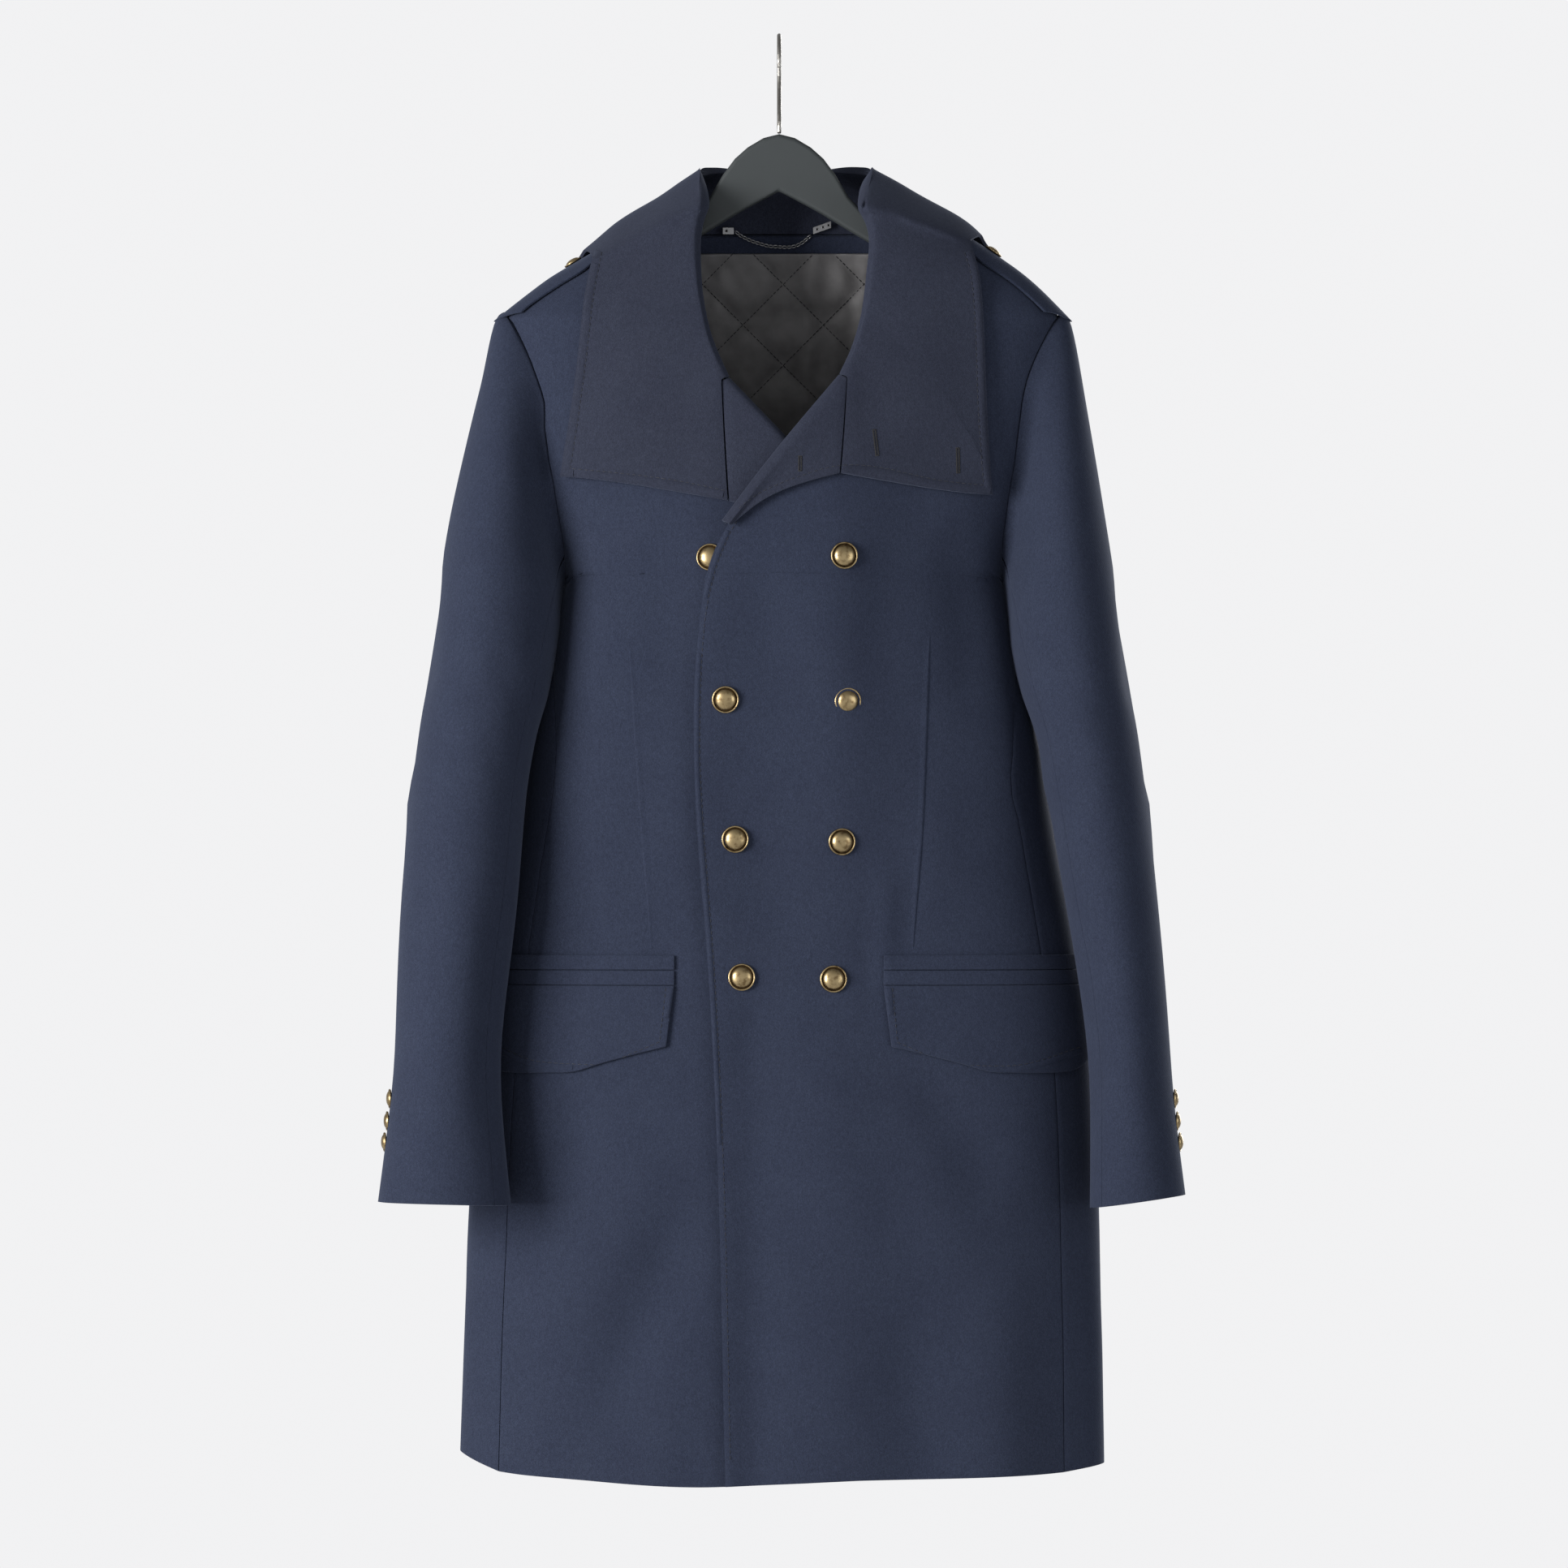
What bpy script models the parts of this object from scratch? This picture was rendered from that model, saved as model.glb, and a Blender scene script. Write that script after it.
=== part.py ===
"""Military greatcoat on a flat hanger with a wire hook. Metres, +Z up, front towards -Y."""

import math
from collections import namedtuple

import bmesh
import bpy
from mathutils import Vector
from mathutils.bvhtree import BVHTree

# Driving dimensions
MM = 0.001
CLOTH = 2.5 * MM
LINING_CLOTH = 1.6 * MM
STRAP_CLOTH = 2.2 * MM
TRIM = 0.15 * MM
ROLL_TRIM = 0.4 * MM
LAPEL_TRIM = 0.7 * MM
SIDE_TRIM = 0.35 * MM
SLEEVE_HEAD_TRIM = 0.8 * MM
ARMHOLE_GAP = 1.0 * MM
OVERLAY_GAP = 1.0 * MM
RING_POWER = 2.5
COLLAR_LIFT = 2.5 * MM
LAP_LIFT = 12.0 * MM
LAP_LOW_LIFT = 4.6 * MM
SHOULDER_Z = -0.213
UNDERARM_Z = -0.420
NECK_POINT_Z = -0.121
NECK_BACK_Z = -0.150
LINING_TOP_Z = -0.163
LINING_END_Z = -0.400
SIDE_SEAM_TURN = 58.0
BACK_SEAM_TURN = 112.0
FRONT_BUTTON_RADIUS = 10.4 * MM
SMALL_BUTTON_RADIUS = 7.4 * MM
HANGER_THICK = 12.0 * MM
HOOK_RADIUS = 19.0 * MM
WIRE_RADIUS = 1.8 * MM

# Tables, a row for each section; columns are named here
Ring = namedtuple("Ring", "z left right front back")
Edge = namedtuple("Edge", "z x")
Leaf = namedtuple("Leaf", "roll_z x z")
Arm = namedtuple("Arm", "outer_x outer_z inner_x inner_z forward deep fitted")
Fold = namedtuple("Fold", "turn width height top bottom")

TORSO = [
    Ring(-0.118, 0.052, 0.055, 0.028, 0.036),
    Ring(-0.124, 0.062, 0.070, 0.030, 0.040),
    Ring(-0.132, 0.078, 0.089, 0.032, 0.044),
    Ring(-0.142, 0.097, 0.114, 0.036, 0.048),
    Ring(-0.154, 0.117, 0.1400, 0.040, 0.052),
    Ring(-0.175, 0.154, 0.1725, 0.046, 0.058),
    Ring(-0.196, 0.187, 0.200, 0.052, 0.062),
    Ring(-0.213, 0.2075, 0.2135, 0.057, 0.066),
    Ring(-0.250, 0.206, 0.211, 0.066, 0.072),
    Ring(-0.300, 0.199, 0.204, 0.076, 0.078),
    Ring(-0.346, 0.189, 0.194, 0.084, 0.082),
    Ring(-0.420, 0.166, 0.172, 0.092, 0.085),
    Ring(-0.455, 0.1690, 0.1755, 0.093, 0.083),
    Ring(-0.500, 0.185, 0.192, 0.092, 0.080),
    Ring(-0.600, 0.201, 0.209, 0.087, 0.076),
    Ring(-0.700, 0.219, 0.228, 0.086, 0.078),
    Ring(-0.775, 0.229, 0.239, 0.090, 0.084),
    Ring(-0.890, 0.237, 0.245, 0.098, 0.092),
    Ring(-1.115, 0.244, 0.248, 0.106, 0.100),
]
CAPE = [
    Ring(-0.094, 0.040, 0.044, 0.032, 0.050),
    Ring(-0.104, 0.063, 0.074, 0.037, 0.054),
    Ring(-0.123, 0.092, 0.110, 0.042, 0.058),
    Ring(-0.141, 0.123, 0.1430, 0.047, 0.062),
    Ring(-0.160, 0.146, 0.1650, 0.051, 0.065),
    Ring(-0.180, 0.175, 0.1940, 0.056, 0.068),
    Ring(-0.213, 0.217, 0.223, 0.064, 0.074),
    Ring(-0.250, 0.215, 0.220, 0.073, 0.080),
    Ring(-0.300, 0.208, 0.213, 0.083, 0.086),
    Ring(-0.346, 0.198, 0.203, 0.091, 0.090),
    Ring(-0.420, 0.175, 0.181, 0.099, 0.092),
]
FOLDS = [
    Fold(-40.0, 9.0, 0.0030, -0.80, -1.12),
    Fold(-14.0, 7.0, -0.0025, -0.84, -1.12),
    Fold(36.0, 9.0, 0.0030, -0.82, -1.12),
    Fold(-78.0, 8.0, 0.0040, -0.62, -1.12),
    Fold(76.0, 8.0, 0.0035, -0.66, -1.12),
    Fold(-150.0, 10.0, 0.0060, -0.50, -1.12),
    Fold(180.0, 9.0, -0.0050, -0.55, -1.12),
    Fold(148.0, 10.0, 0.0060, -0.48, -1.12),
    Fold(118.0, 8.0, -0.0030, -0.60, -1.12),
]
ARMHOLE_FRONT = [
    Edge(-0.213, 1.000), Edge(-0.232, 0.955), Edge(-0.262, 0.905), Edge(-0.300, 0.893),
    Edge(-0.346, 0.912), Edge(-0.390, 0.955), Edge(-0.420, 1.000),
]
ROLL_RIGHT = [
    Edge(-0.122, -0.0600), Edge(-0.156, -0.0657), Edge(-0.187, -0.0645), Edge(-0.212, -0.0608),
    Edge(-0.2375, -0.054), Edge(-0.265, -0.0415), Edge(-0.288, -0.021), Edge(-0.3106, 0.0037),
    Edge(-0.3367, 0.0248), Edge(-0.385, 0.0510), Edge(-0.420, 0.0560), Edge(-1.115, 0.0600),
]
ROLL_LEFT = [
    Edge(-0.122, 0.0660), Edge(-0.156, 0.0744), Edge(-0.187, 0.0713), Edge(-0.207, 0.0688),
    Edge(-0.2325, 0.0620), Edge(-0.260, 0.0520), Edge(-0.295, 0.0242), Edge(-0.332, -0.0062),
    Edge(-0.354, -0.0217), Edge(-0.381, -0.0422), Edge(-0.412, -0.0540), Edge(-0.4557, -0.0620),
    Edge(-0.529, -0.0651), Edge(-0.594, -0.0632), Edge(-0.729, -0.0533), Edge(-0.8835, -0.0465),
    Edge(-1.115, -0.0410),
]
LEAF_RIGHT = [
    Leaf(-0.122, -0.1425, -0.164), Leaf(-0.140, -0.1450, -0.178), Leaf(-0.160, -0.1490, -0.200),
    Leaf(-0.180, -0.1530, -0.236), Leaf(-0.200, -0.1600, -0.290), Leaf(-0.2192, -0.1675, -0.338),
    Leaf(-0.2372, -0.1250, -0.342), Leaf(-0.2648, -0.0385, -0.3565), Leaf(-0.299, 0.0050, -0.368),
    Leaf(-0.335, 0.0300, -0.377), Leaf(-0.376, 0.0450, -0.386),
]
LEAF_LEFT = [
    Leaf(-0.122, 0.1455, -0.152), Leaf(-0.140, 0.1485, -0.164), Leaf(-0.160, 0.1540, -0.186),
    Leaf(-0.180, 0.1570, -0.230), Leaf(-0.200, 0.1590, -0.290), Leaf(-0.2192, 0.1635, -0.352),
    Leaf(-0.2372, 0.1200, -0.3475), Leaf(-0.2648, 0.0460, -0.337), Leaf(-0.299, 0.0170, -0.345),
    Leaf(-0.335, -0.0115, -0.357), Leaf(-0.376, -0.0360, -0.3765),
]
HEM = [
    Edge(-75.0, -1.0840), Edge(-60.0, -1.0975), Edge(-35.0, -1.1035), Edge(-10.0, -1.1090),
    Edge(10.0, -1.1040), Edge(35.0, -1.1020), Edge(60.0, -1.0985), Edge(75.0, -1.0930),
]
SLEEVE_RIGHT = [
    Arm(-0.2110, -0.2105, -0.1680, -0.4260, 0.000, 0.052, 0.92),
    Arm(-0.2190, -0.2200, -0.1700, -0.4330, 0.000, 0.058, 0.70),
    Arm(-0.2265, -0.2560, -0.1708, -0.4420, -0.008, 0.064, 0.40),
    Arm(-0.2390, -0.3090, -0.1712, -0.4540, -0.018, 0.069, 0.12),
    Arm(-0.2548, -0.3830, -0.1748, -0.4750, -0.030, 0.070, 0.0),
    Arm(-0.2685, -0.4820, -0.1832, -0.5200, -0.044, 0.066, 0.0),
    Arm(-0.2800, -0.5700, -0.1940, -0.5900, -0.056, 0.060, 0.0),
    Arm(-0.2885, -0.6560, -0.2000, -0.6650, -0.067, 0.053, 0.0),
    Arm(-0.2925, -0.7450, -0.2100, -0.7480, -0.071, 0.048, 0.0),
    Arm(-0.2960, -0.8100, -0.2120, -0.8120, -0.080, 0.045, 0.0),
    Arm(-0.3060, -0.8915, -0.2046, -0.8940, -0.091, 0.043, 0.0),
]
SLEEVE_LEFT = [
    Arm(0.2180, -0.2112, 0.1740, -0.4260, 0.000, 0.052, 0.96),
    Arm(0.2245, -0.2210, 0.1760, -0.4330, 0.000, 0.058, 0.76),
    Arm(0.2310, -0.2560, 0.1766, -0.4420, -0.008, 0.064, 0.40),
    Arm(0.2400, -0.3090, 0.1786, -0.4540, -0.018, 0.069, 0.12),
    Arm(0.2520, -0.3830, 0.1816, -0.4750, -0.030, 0.070, 0.0),
    Arm(0.2670, -0.4820, 0.1922, -0.5200, -0.044, 0.066, 0.0),
    Arm(0.2790, -0.5700, 0.2060, -0.5900, -0.056, 0.060, 0.0),
    Arm(0.2885, -0.6560, 0.2190, -0.6650, -0.067, 0.053, 0.0),
    Arm(0.2965, -0.7450, 0.2320, -0.7480, -0.072, 0.048, 0.0),
    Arm(0.3010, -0.8100, 0.2370, -0.8120, -0.081, 0.045, 0.0),
    Arm(0.3100, -0.8860, 0.2370, -0.8960, -0.091, 0.043, 0.0),
]


def spline(rows, key, value):
    """A smooth curve through one column of a table, held level past its ends."""
    points = sorted((getattr(row, key), getattr(row, value)) for row in rows)
    xs = [p[0] for p in points]
    ys = [p[1] for p in points]
    steps = [(ys[i + 1] - ys[i]) / (xs[i + 1] - xs[i]) for i in range(len(xs) - 1)]
    slopes = [steps[0]]
    for before, after in zip(steps, steps[1:]):
        slopes.append(0.0 if before * after <= 0 else 2 * before * after / (before + after))
    slopes.append(steps[-1])

    def at(x):
        if x <= xs[0]:
            return ys[0]
        if x >= xs[-1]:
            return ys[-1]
        i = max(k for k in range(len(xs) - 1) if xs[k] <= x)
        span = xs[i + 1] - xs[i]
        u = (x - xs[i]) / span
        return (
            (2 * u**3 - 3 * u**2 + 1) * ys[i]
            + (u**3 - 2 * u**2 + u) * span * slopes[i]
            + (3 * u**2 - 2 * u**3) * ys[i + 1]
            + (u**3 - u**2) * span * slopes[i + 1]
        )

    return at


def ease(low, high, x):
    """0 below low, 1 above high, smooth between."""
    u = min(1.0, max(0.0, (x - low) / (high - low)))
    return u * u * (3 - 2 * u)


def mix(a, b, u):
    return a + (b - a) * u


class Form:
    """A surface of rings: half widths to each side, depths to the front and the back."""

    def __init__(self, rings, folds=()):
        self.left = spline(rings, "z", "left")
        self.right = spline(rings, "z", "right")
        self.front = spline(rings, "z", "front")
        self.back = spline(rings, "z", "back")
        self.folds = folds

    def sizes(self, side, face, z):
        half = self.right(z) if side >= 0 else self.left(z)
        depth = self.front(z) if face >= 0 else self.back(z)
        return half, depth

    def fold(self, turn, z):
        rise = 0.0
        for fold in self.folds:
            away = (turn - fold.turn + 180.0) % 360.0 - 180.0
            rise += fold.height * math.exp(-((away / fold.width) ** 2)) * ease(-fold.top, -fold.bottom, -z)
        return rise

    def plain(self, turn, z):
        s = math.sin(math.radians(turn))
        c = math.cos(math.radians(turn))
        half, depth = self.sizes(s, c, z)
        power = 2 / RING_POWER
        return Vector((
            math.copysign(half * abs(s) ** power, s),
            -math.copysign(depth * abs(c) ** power, c),
            z,
        ))

    def normal(self, turn, z):
        p = self.plain(turn, z)
        s, c = p.x, -p.y
        half, depth = self.sizes(s, c, z)
        half_up, depth_up = self.sizes(s, c, z + MM)
        half_down, depth_down = self.sizes(s, c, z - MM)
        n = RING_POWER
        gx = math.copysign(abs(p.x) ** (n - 1) / half**n, p.x)
        gy = math.copysign(abs(p.y) ** (n - 1) / depth**n, p.y)
        gz = -(abs(p.x) / half) ** n / half * (half_up - half_down) / (2 * MM)
        gz -= (abs(p.y) / depth) ** n / depth * (depth_up - depth_down) / (2 * MM)
        return Vector((gx, gy, gz)).normalized()

    def point(self, turn, z, lift=0.0):
        return self.plain(turn, z) + self.normal(turn, z) * (lift + self.fold(turn, z))

    def turn_at(self, x, z):
        """The turn, in the front half, at which the ring at z stands at x."""
        half, _ = self.sizes(x, 1, z)
        ratio = min(1.0, abs(x) / half)
        return math.copysign(math.degrees(math.asin(ratio ** (RING_POWER / 2))), x)

    def top(self, x, y):
        """The height and the turn of the surface above a point of the plan."""
        low, high = SHOULDER_Z - 0.06, TORSO[0].z
        for _ in range(40):
            mid = (low + high) / 2
            half, depth = self.sizes(x, -y, mid)
            inside = (abs(x) / half) ** RING_POWER + (abs(y) / depth) ** RING_POWER < 1
            low, high = (mid, high) if inside else (low, mid)
        z = (low + high) / 2
        half, depth = self.sizes(x, -y, z)
        power = RING_POWER / 2
        side = (abs(x) / half) ** power
        face = (abs(y) / depth) ** power
        turn = math.degrees(math.atan2(math.copysign(side, x), math.copysign(face, -y)))
        return z, turn


TORSO_FORM = Form(TORSO, FOLDS)
CAPE_FORM = Form(CAPE)
ARMHOLE_STEPS = 9
ARMHOLE_LEVELS = [
    mix(SHOULDER_Z, UNDERARM_Z, (1 - math.cos(math.pi * k / ARMHOLE_STEPS)) / 2)
    for k in range(ARMHOLE_STEPS + 1)
]
SHOULDER_LEVELS = [-0.122, -0.128, -0.137, -0.149, -0.163, -0.180, -0.197]
SIDE_POINT = 0.14
BODY_STEPS = [0.09, 0.19, 0.29, 0.39, 0.49, 0.59, 0.69, 0.78, 0.86, 0.93, 1.0]


def lap_lift(x, z):
    """How far the over front stands off, to clear the under front, its lapel and its button."""
    high = LAP_LIFT * ease(0.200, 0.275, -z)
    low = LAP_LOW_LIFT - LAP_LIFT
    return (high + low * ease(0.430, 0.520, -z)) * (1 - ease(0.035, 0.115, x))


def armhole_turn(side, face, z):
    """The turn of the armhole seam on one side (-1 or 1), in front (1) or behind (-1)."""
    ratio = spline(ARMHOLE_FRONT, "z", "x")(z)
    turn = math.degrees(math.asin(min(1.0, ratio) ** (RING_POWER / 2)))
    return side * (turn if face > 0 else 180.0 - turn)


def hem_z(turn):
    """The hem's height round the coat; the back hangs a little lower than the sides."""
    if abs(turn) <= 90.0:
        return spline(HEM, "z", "x")(turn)
    side = HEM[0].x if turn < 0 else HEM[-1].x
    return mix(side, -1.104, ease(90.0, 140.0, abs(turn)))


def material(name, colour, roughness, metallic=0.0):
    found = bpy.data.materials.get(name)
    if found:
        return found
    made = bpy.data.materials.new(name)
    made.use_nodes = True
    shader = made.node_tree.nodes["Principled BSDF"]
    shader.inputs["Base Color"].default_value = (*colour, 1.0)
    shader.inputs["Roughness"].default_value = roughness
    shader.inputs["Metallic"].default_value = metallic
    return made


def navy():
    return material("navy wool", (0.040, 0.050, 0.085), 0.92)


def brass():
    return material("antique brass", (0.38, 0.27, 0.12), 0.38, 1.0)


def add_object(name, mesh_source, finish):
    """Make an object of a bmesh, with its faces outward and smooth."""
    bmesh.ops.recalc_face_normals(mesh_source, faces=mesh_source.faces)
    mesh = bpy.data.meshes.new(name)
    mesh_source.to_mesh(mesh)
    mesh_source.free()
    mesh.shade_smooth()
    mesh.set_sharp_from_angle(angle=math.radians(40.0))
    mesh.materials.append(finish)
    made = bpy.data.objects.new(name, mesh)
    bpy.context.scene.collection.objects.link(made)
    return made


def wall(name, outer, inner, finish):
    """A cloth wall between two grids of points, closed at its rim."""
    bm = bmesh.new()
    faces_out = [[bm.verts.new(p) for p in row] for row in outer]
    faces_in = [[bm.verts.new(p) for p in row] for row in inner]
    rows, columns = len(outer), len(outer[0])
    for i in range(rows - 1):
        for j in range(columns - 1):
            for grid in (faces_out, faces_in):
                bm.faces.new((grid[i][j], grid[i][j + 1], grid[i + 1][j + 1], grid[i + 1][j]))
    rim = [(0, j) for j in range(columns)] + [(i, columns - 1) for i in range(1, rows)]
    rim += [(rows - 1, j) for j in range(columns - 2, -1, -1)] + [(i, 0) for i in range(rows - 2, 0, -1)]
    for (a, b), (c, d) in zip(rim, rim[1:] + rim[:1]):
        bm.faces.new((faces_out[a][b], faces_out[c][d], faces_in[c][d], faces_in[a][b]))
    return add_object(name, bm, finish)


def pull_in(row, amount):
    """Move both ends of a row of points towards their neighbours."""
    first = row[0] + (row[1] - row[0]).normalized() * amount[0]
    last = row[-1] + (row[-2] - row[-1]).normalized() * amount[1]
    return [first, *row[1:-1], last]


PANELS = {}


def form_wall(name, spans, columns, trims=(TRIM, TRIM), lift=None, point_share=None):
    """A panel on the torso form. Each span is a start turn, an end turn, and the level at each turn.

    With a point_share, the first span is only a point that the panel narrows towards.
    """
    outer, inner = [], []
    for start, end, level in spans:
        out_row, in_row = [], []
        for j in range(columns + 1):
            turn = mix(start, end, j / columns)
            z = level(turn) if callable(level) else level
            p = TORSO_FORM.point(turn, z)
            n = TORSO_FORM.normal(turn, z)
            rise = lift(p.x, z) if lift else 0.0
            out_row.append(p + n * rise)
            in_row.append(p + n * (rise - CLOTH))
        outer.append(out_row)
        inner.append(in_row)
    if point_share:
        for grid in (outer, inner):
            grid[0] = [a.lerp(b, point_share) for a, b in zip(grid[0], grid[1])]
    outer = [pull_in(row, trims) for row in outer]
    inner = [pull_in(row, trims) for row in inner]
    PANELS[name] = outer
    return wall(name, outer, inner, navy())


def seat_on(name, x, z):
    """The point and the outward normal of a front's own faces, seen from the front.

    Each four-sided face is tried split both ways, and the split that stands out furthest counts.
    """
    rows = PANELS[name]
    columns = len(rows[0])
    faces = []
    for i in range(len(rows) - 1):
        for j in range(columns - 1):
            a = i * columns + j
            b, c, d = a + 1, a + 1 + columns, a + columns
            faces += [(a, b, c), (a, c, d), (a, b, d), (b, c, d)]
    tree = BVHTree.FromPolygons([p for row in rows for p in row], faces)
    place, normal, _, _ = tree.ray_cast(Vector((x, -1.0, z)), Vector((0.0, 1.0, 0.0)))
    return place, (normal if normal.y < 0 else -normal)


def body_level(step):
    return lambda turn: mix(UNDERARM_Z, hem_z(turn), step)


def front_edge(side, z):
    """The turn of a front's inner edge: the roll line, then the buttoned edge."""
    x = spline(ROLL_RIGHT if side < 0 else ROLL_LEFT, "z", "x")(z)
    return TORSO_FORM.turn_at(x, z)


def front_spans(side):
    """The rows of a front, from the neck to the hem, from its inner edge outward."""
    spans = [(front_edge(side, z), side * 90.0, z) for z in SHOULDER_LEVELS]
    spans += [(front_edge(side, z), armhole_turn(side, 1, z), z) for z in ARMHOLE_LEVELS]
    for step in BODY_STEPS:
        outer = side * mix(90.0, SIDE_SEAM_TURN, ease(0.0, 0.19, step))
        inner = front_edge(side, mix(UNDERARM_Z, hem_z(0.0), step))
        spans.append((inner, outer, body_level(step)))
    return spans


def build_fronts():
    form_wall("front_right", front_spans(-1), 11, (ROLL_TRIM, SIDE_TRIM))
    form_wall("front_left", front_spans(1), 14, (ROLL_TRIM, SIDE_TRIM), lap_lift)


def build_sides():
    for side, name in ((-1, "side_right"), (1, "side_left")):
        spans = [(side * 90.0, side * 90.0, UNDERARM_Z)]
        for step in BODY_STEPS:
            front = mix(90.0, SIDE_SEAM_TURN, ease(0.0, 0.19, step))
            back = mix(90.0, BACK_SEAM_TURN, ease(0.0, 0.19, step))
            spans.append((side * front, side * back, body_level(step)))
        form_wall(name, spans, 5, (SIDE_TRIM, SIDE_TRIM), point_share=SIDE_POINT)


def neck_level(turn):
    """The neck seam at the back: up at the neck points, down at the centre."""
    return mix(NECK_POINT_Z - MM, NECK_BACK_Z, ease(90.0, 150.0, abs(turn)) if turn <= 180 else
               ease(90.0, 150.0, 360.0 - turn))


def around(turn):
    """The same turn, from -180 to 180."""
    return turn - 360.0 if turn > 180.0 else turn


BACK_TOP_SHARES = [0.0, 0.07, 0.18, 0.31, 0.46, 0.63, 0.82]
BACK_COLUMNS = 16


def build_back():
    spans = []
    for share in BACK_TOP_SHARES:
        spans.append((90.0, 270.0, lambda turn, s=share: mix(neck_level(turn), SHOULDER_Z, s)))
    for z in ARMHOLE_LEVELS:
        spans.append((armhole_turn(1, -1, z), 360.0 + armhole_turn(-1, -1, z), z))
    for step in BODY_STEPS:
        seam = mix(90.0, BACK_SEAM_TURN, ease(0.0, 0.19, step))
        level = lambda turn, s=step: mix(UNDERARM_Z, hem_z(around(turn)), s)
        spans.append((seam, 360.0 - seam, level))
    form_wall("back", spans, BACK_COLUMNS)


# Collar and lapels
SEAM_PULL = 0.62
ARC_STEPS = 5
LEAF_STEPS = 6
LAPEL_END_Z = -0.376
BACK_LIFT = 0.5 * MM
LEAF_SIDE_Z = (-0.151, -0.162)
LEAF_BACK_Z = -0.212
UNDER_LAPEL_LIFT = 1.2 * MM
UP = Vector((0.0, 0.0, 1.0))


def bend(a, b, c, d, u):
    """A point on a cubic Bezier curve."""
    v = 1 - u
    return a * v**3 + b * (3 * v * v * u) + c * (3 * v * u * u) + d * u**3


def leaf_lift(x, z, share, extra):
    """The leaf stands off most at its roll, and rides over the over front's own lift."""
    over = lap_lift(x, z) if x > -0.06 else 0.0
    return over + extra * (1 - ease(0.0, 0.75, share))


def station(seam_point, foot, lean, roll, outer, extra, over_front):
    """One line across the collar: from the seam, round the roll, to the leaf's outer edge.

    The foot is the way that the visible face looks at the seam.
    """
    line = []
    start = CAPE_FORM.point(roll[0], roll[1])
    rise = leaf_lift(start.x, start.z, 0.0, extra) if over_front else extra
    start += CAPE_FORM.normal(roll[0], roll[1]) * rise
    gap = (start - seam_point).length
    for k in range(ARC_STEPS):
        pull = seam_point + lean[0] * gap * SEAM_PULL
        line.append(bend(seam_point, pull, start + lean[1], start, k / ARC_STEPS))
    for k in range(LEAF_STEPS + 1):
        share = k / LEAF_STEPS
        turn = mix(roll[0], outer[0], share)
        z = mix(roll[1], outer[1], share)
        p = CAPE_FORM.point(turn, z)
        rise = leaf_lift(p.x, p.z, share, extra) if over_front else extra * (1 - ease(0.0, 0.75, share))
        line.append(p + CAPE_FORM.normal(turn, z) * rise)
    return line, foot


def front_stations(side, levels, extra):
    """Collar or lapel lines on one front, each starting from the front's inner edge."""
    table = LEAF_RIGHT if side < 0 else LEAF_LEFT
    lines = []
    for z in levels:
        turn = front_edge(side, z)
        seam = TORSO_FORM.point(turn, z)
        normal = TORSO_FORM.normal(turn, z)
        rise = lap_lift(seam.x, z) if side > 0 else 0.0
        below = TORSO_FORM.point(front_edge(side, z - MM), z - MM)
        along = (below - seam).normalized()
        inward = normal.cross(along).normalized()
        if inward.x * side > 0:
            inward = -inward
        seam += normal * (rise - CLOTH) + inward * ROLL_TRIM
        roll = (CAPE_FORM.turn_at(seam.x + side * 2.5 * MM, z), z)
        outer_x = spline(table, "roll_z", "x")(z)
        outer_z = spline(table, "roll_z", "z")(z)
        outer = (CAPE_FORM.turn_at(outer_x, outer_z), outer_z)
        lean = (inward, inward * 7.0 * MM)
        lines.append(station(seam, -normal, lean, roll, outer, extra, side > 0))
    return lines


def back_stations():
    """Collar lines round the back of the neck, on the back's own neck points."""
    lines = []
    for j in range(BACK_COLUMNS + 1):
        turn = mix(90.0, 270.0, j / BACK_COLUMNS)
        low = neck_level(turn)
        edge = TORSO_FORM.point(turn, low)
        inward = (TORSO_FORM.point(turn, low + MM) - edge).normalized()
        foot = Vector((-edge.x, -edge.y, 0.0)).normalized()
        seam = edge + inward * 2 * ROLL_TRIM + foot * CLOTH
        behind = ease(90.0, 150.0, turn if turn <= 180 else 360.0 - turn)
        roll = (turn, mix(-0.1035, -0.1010, behind))
        outer = (turn, mix(LEAF_SIDE_Z[turn > 180.0], LEAF_BACK_Z, behind))
        lean = (UP, UP * 5.0 * MM)
        lines.append(station(seam, foot, lean, roll, outer, BACK_LIFT, False))
    return lines


def leaf_wall(name, lines):
    """A wall whose visible face is the given grid, thickened away from it."""
    feet = [foot for _, foot in lines]
    lines = [line for line, _ in lines]
    rows, columns = len(lines), len(lines[0])
    inner = []
    for i in range(rows):
        row = []
        for j in range(columns):
            across = lines[i][min(j + 1, columns - 1)] - lines[i][max(j - 1, 0)]
            along = lines[min(i + 1, rows - 1)][j] - lines[max(i - 1, 0)][j]
            row.append(lines[i][j] - across.cross(along).normalized() * CLOTH)
        row[0] = lines[i][0] - feet[i] * CLOTH
        inner.append(row)
    return wall(name, lines, inner, navy())


def shorten(lines, first, last):
    """Trim the first or the last line of a leaf back from a seam."""
    ends = ([(0, 1)] if first else []) + ([(-1, -2)] if last else [])
    for end, beside in ends:
        pairs = zip(lines[end][0], lines[beside][0])
        lines[end] = ([a + (b - a).normalized() * LAPEL_TRIM for a, b in pairs], lines[end][1])
    return lines


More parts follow.
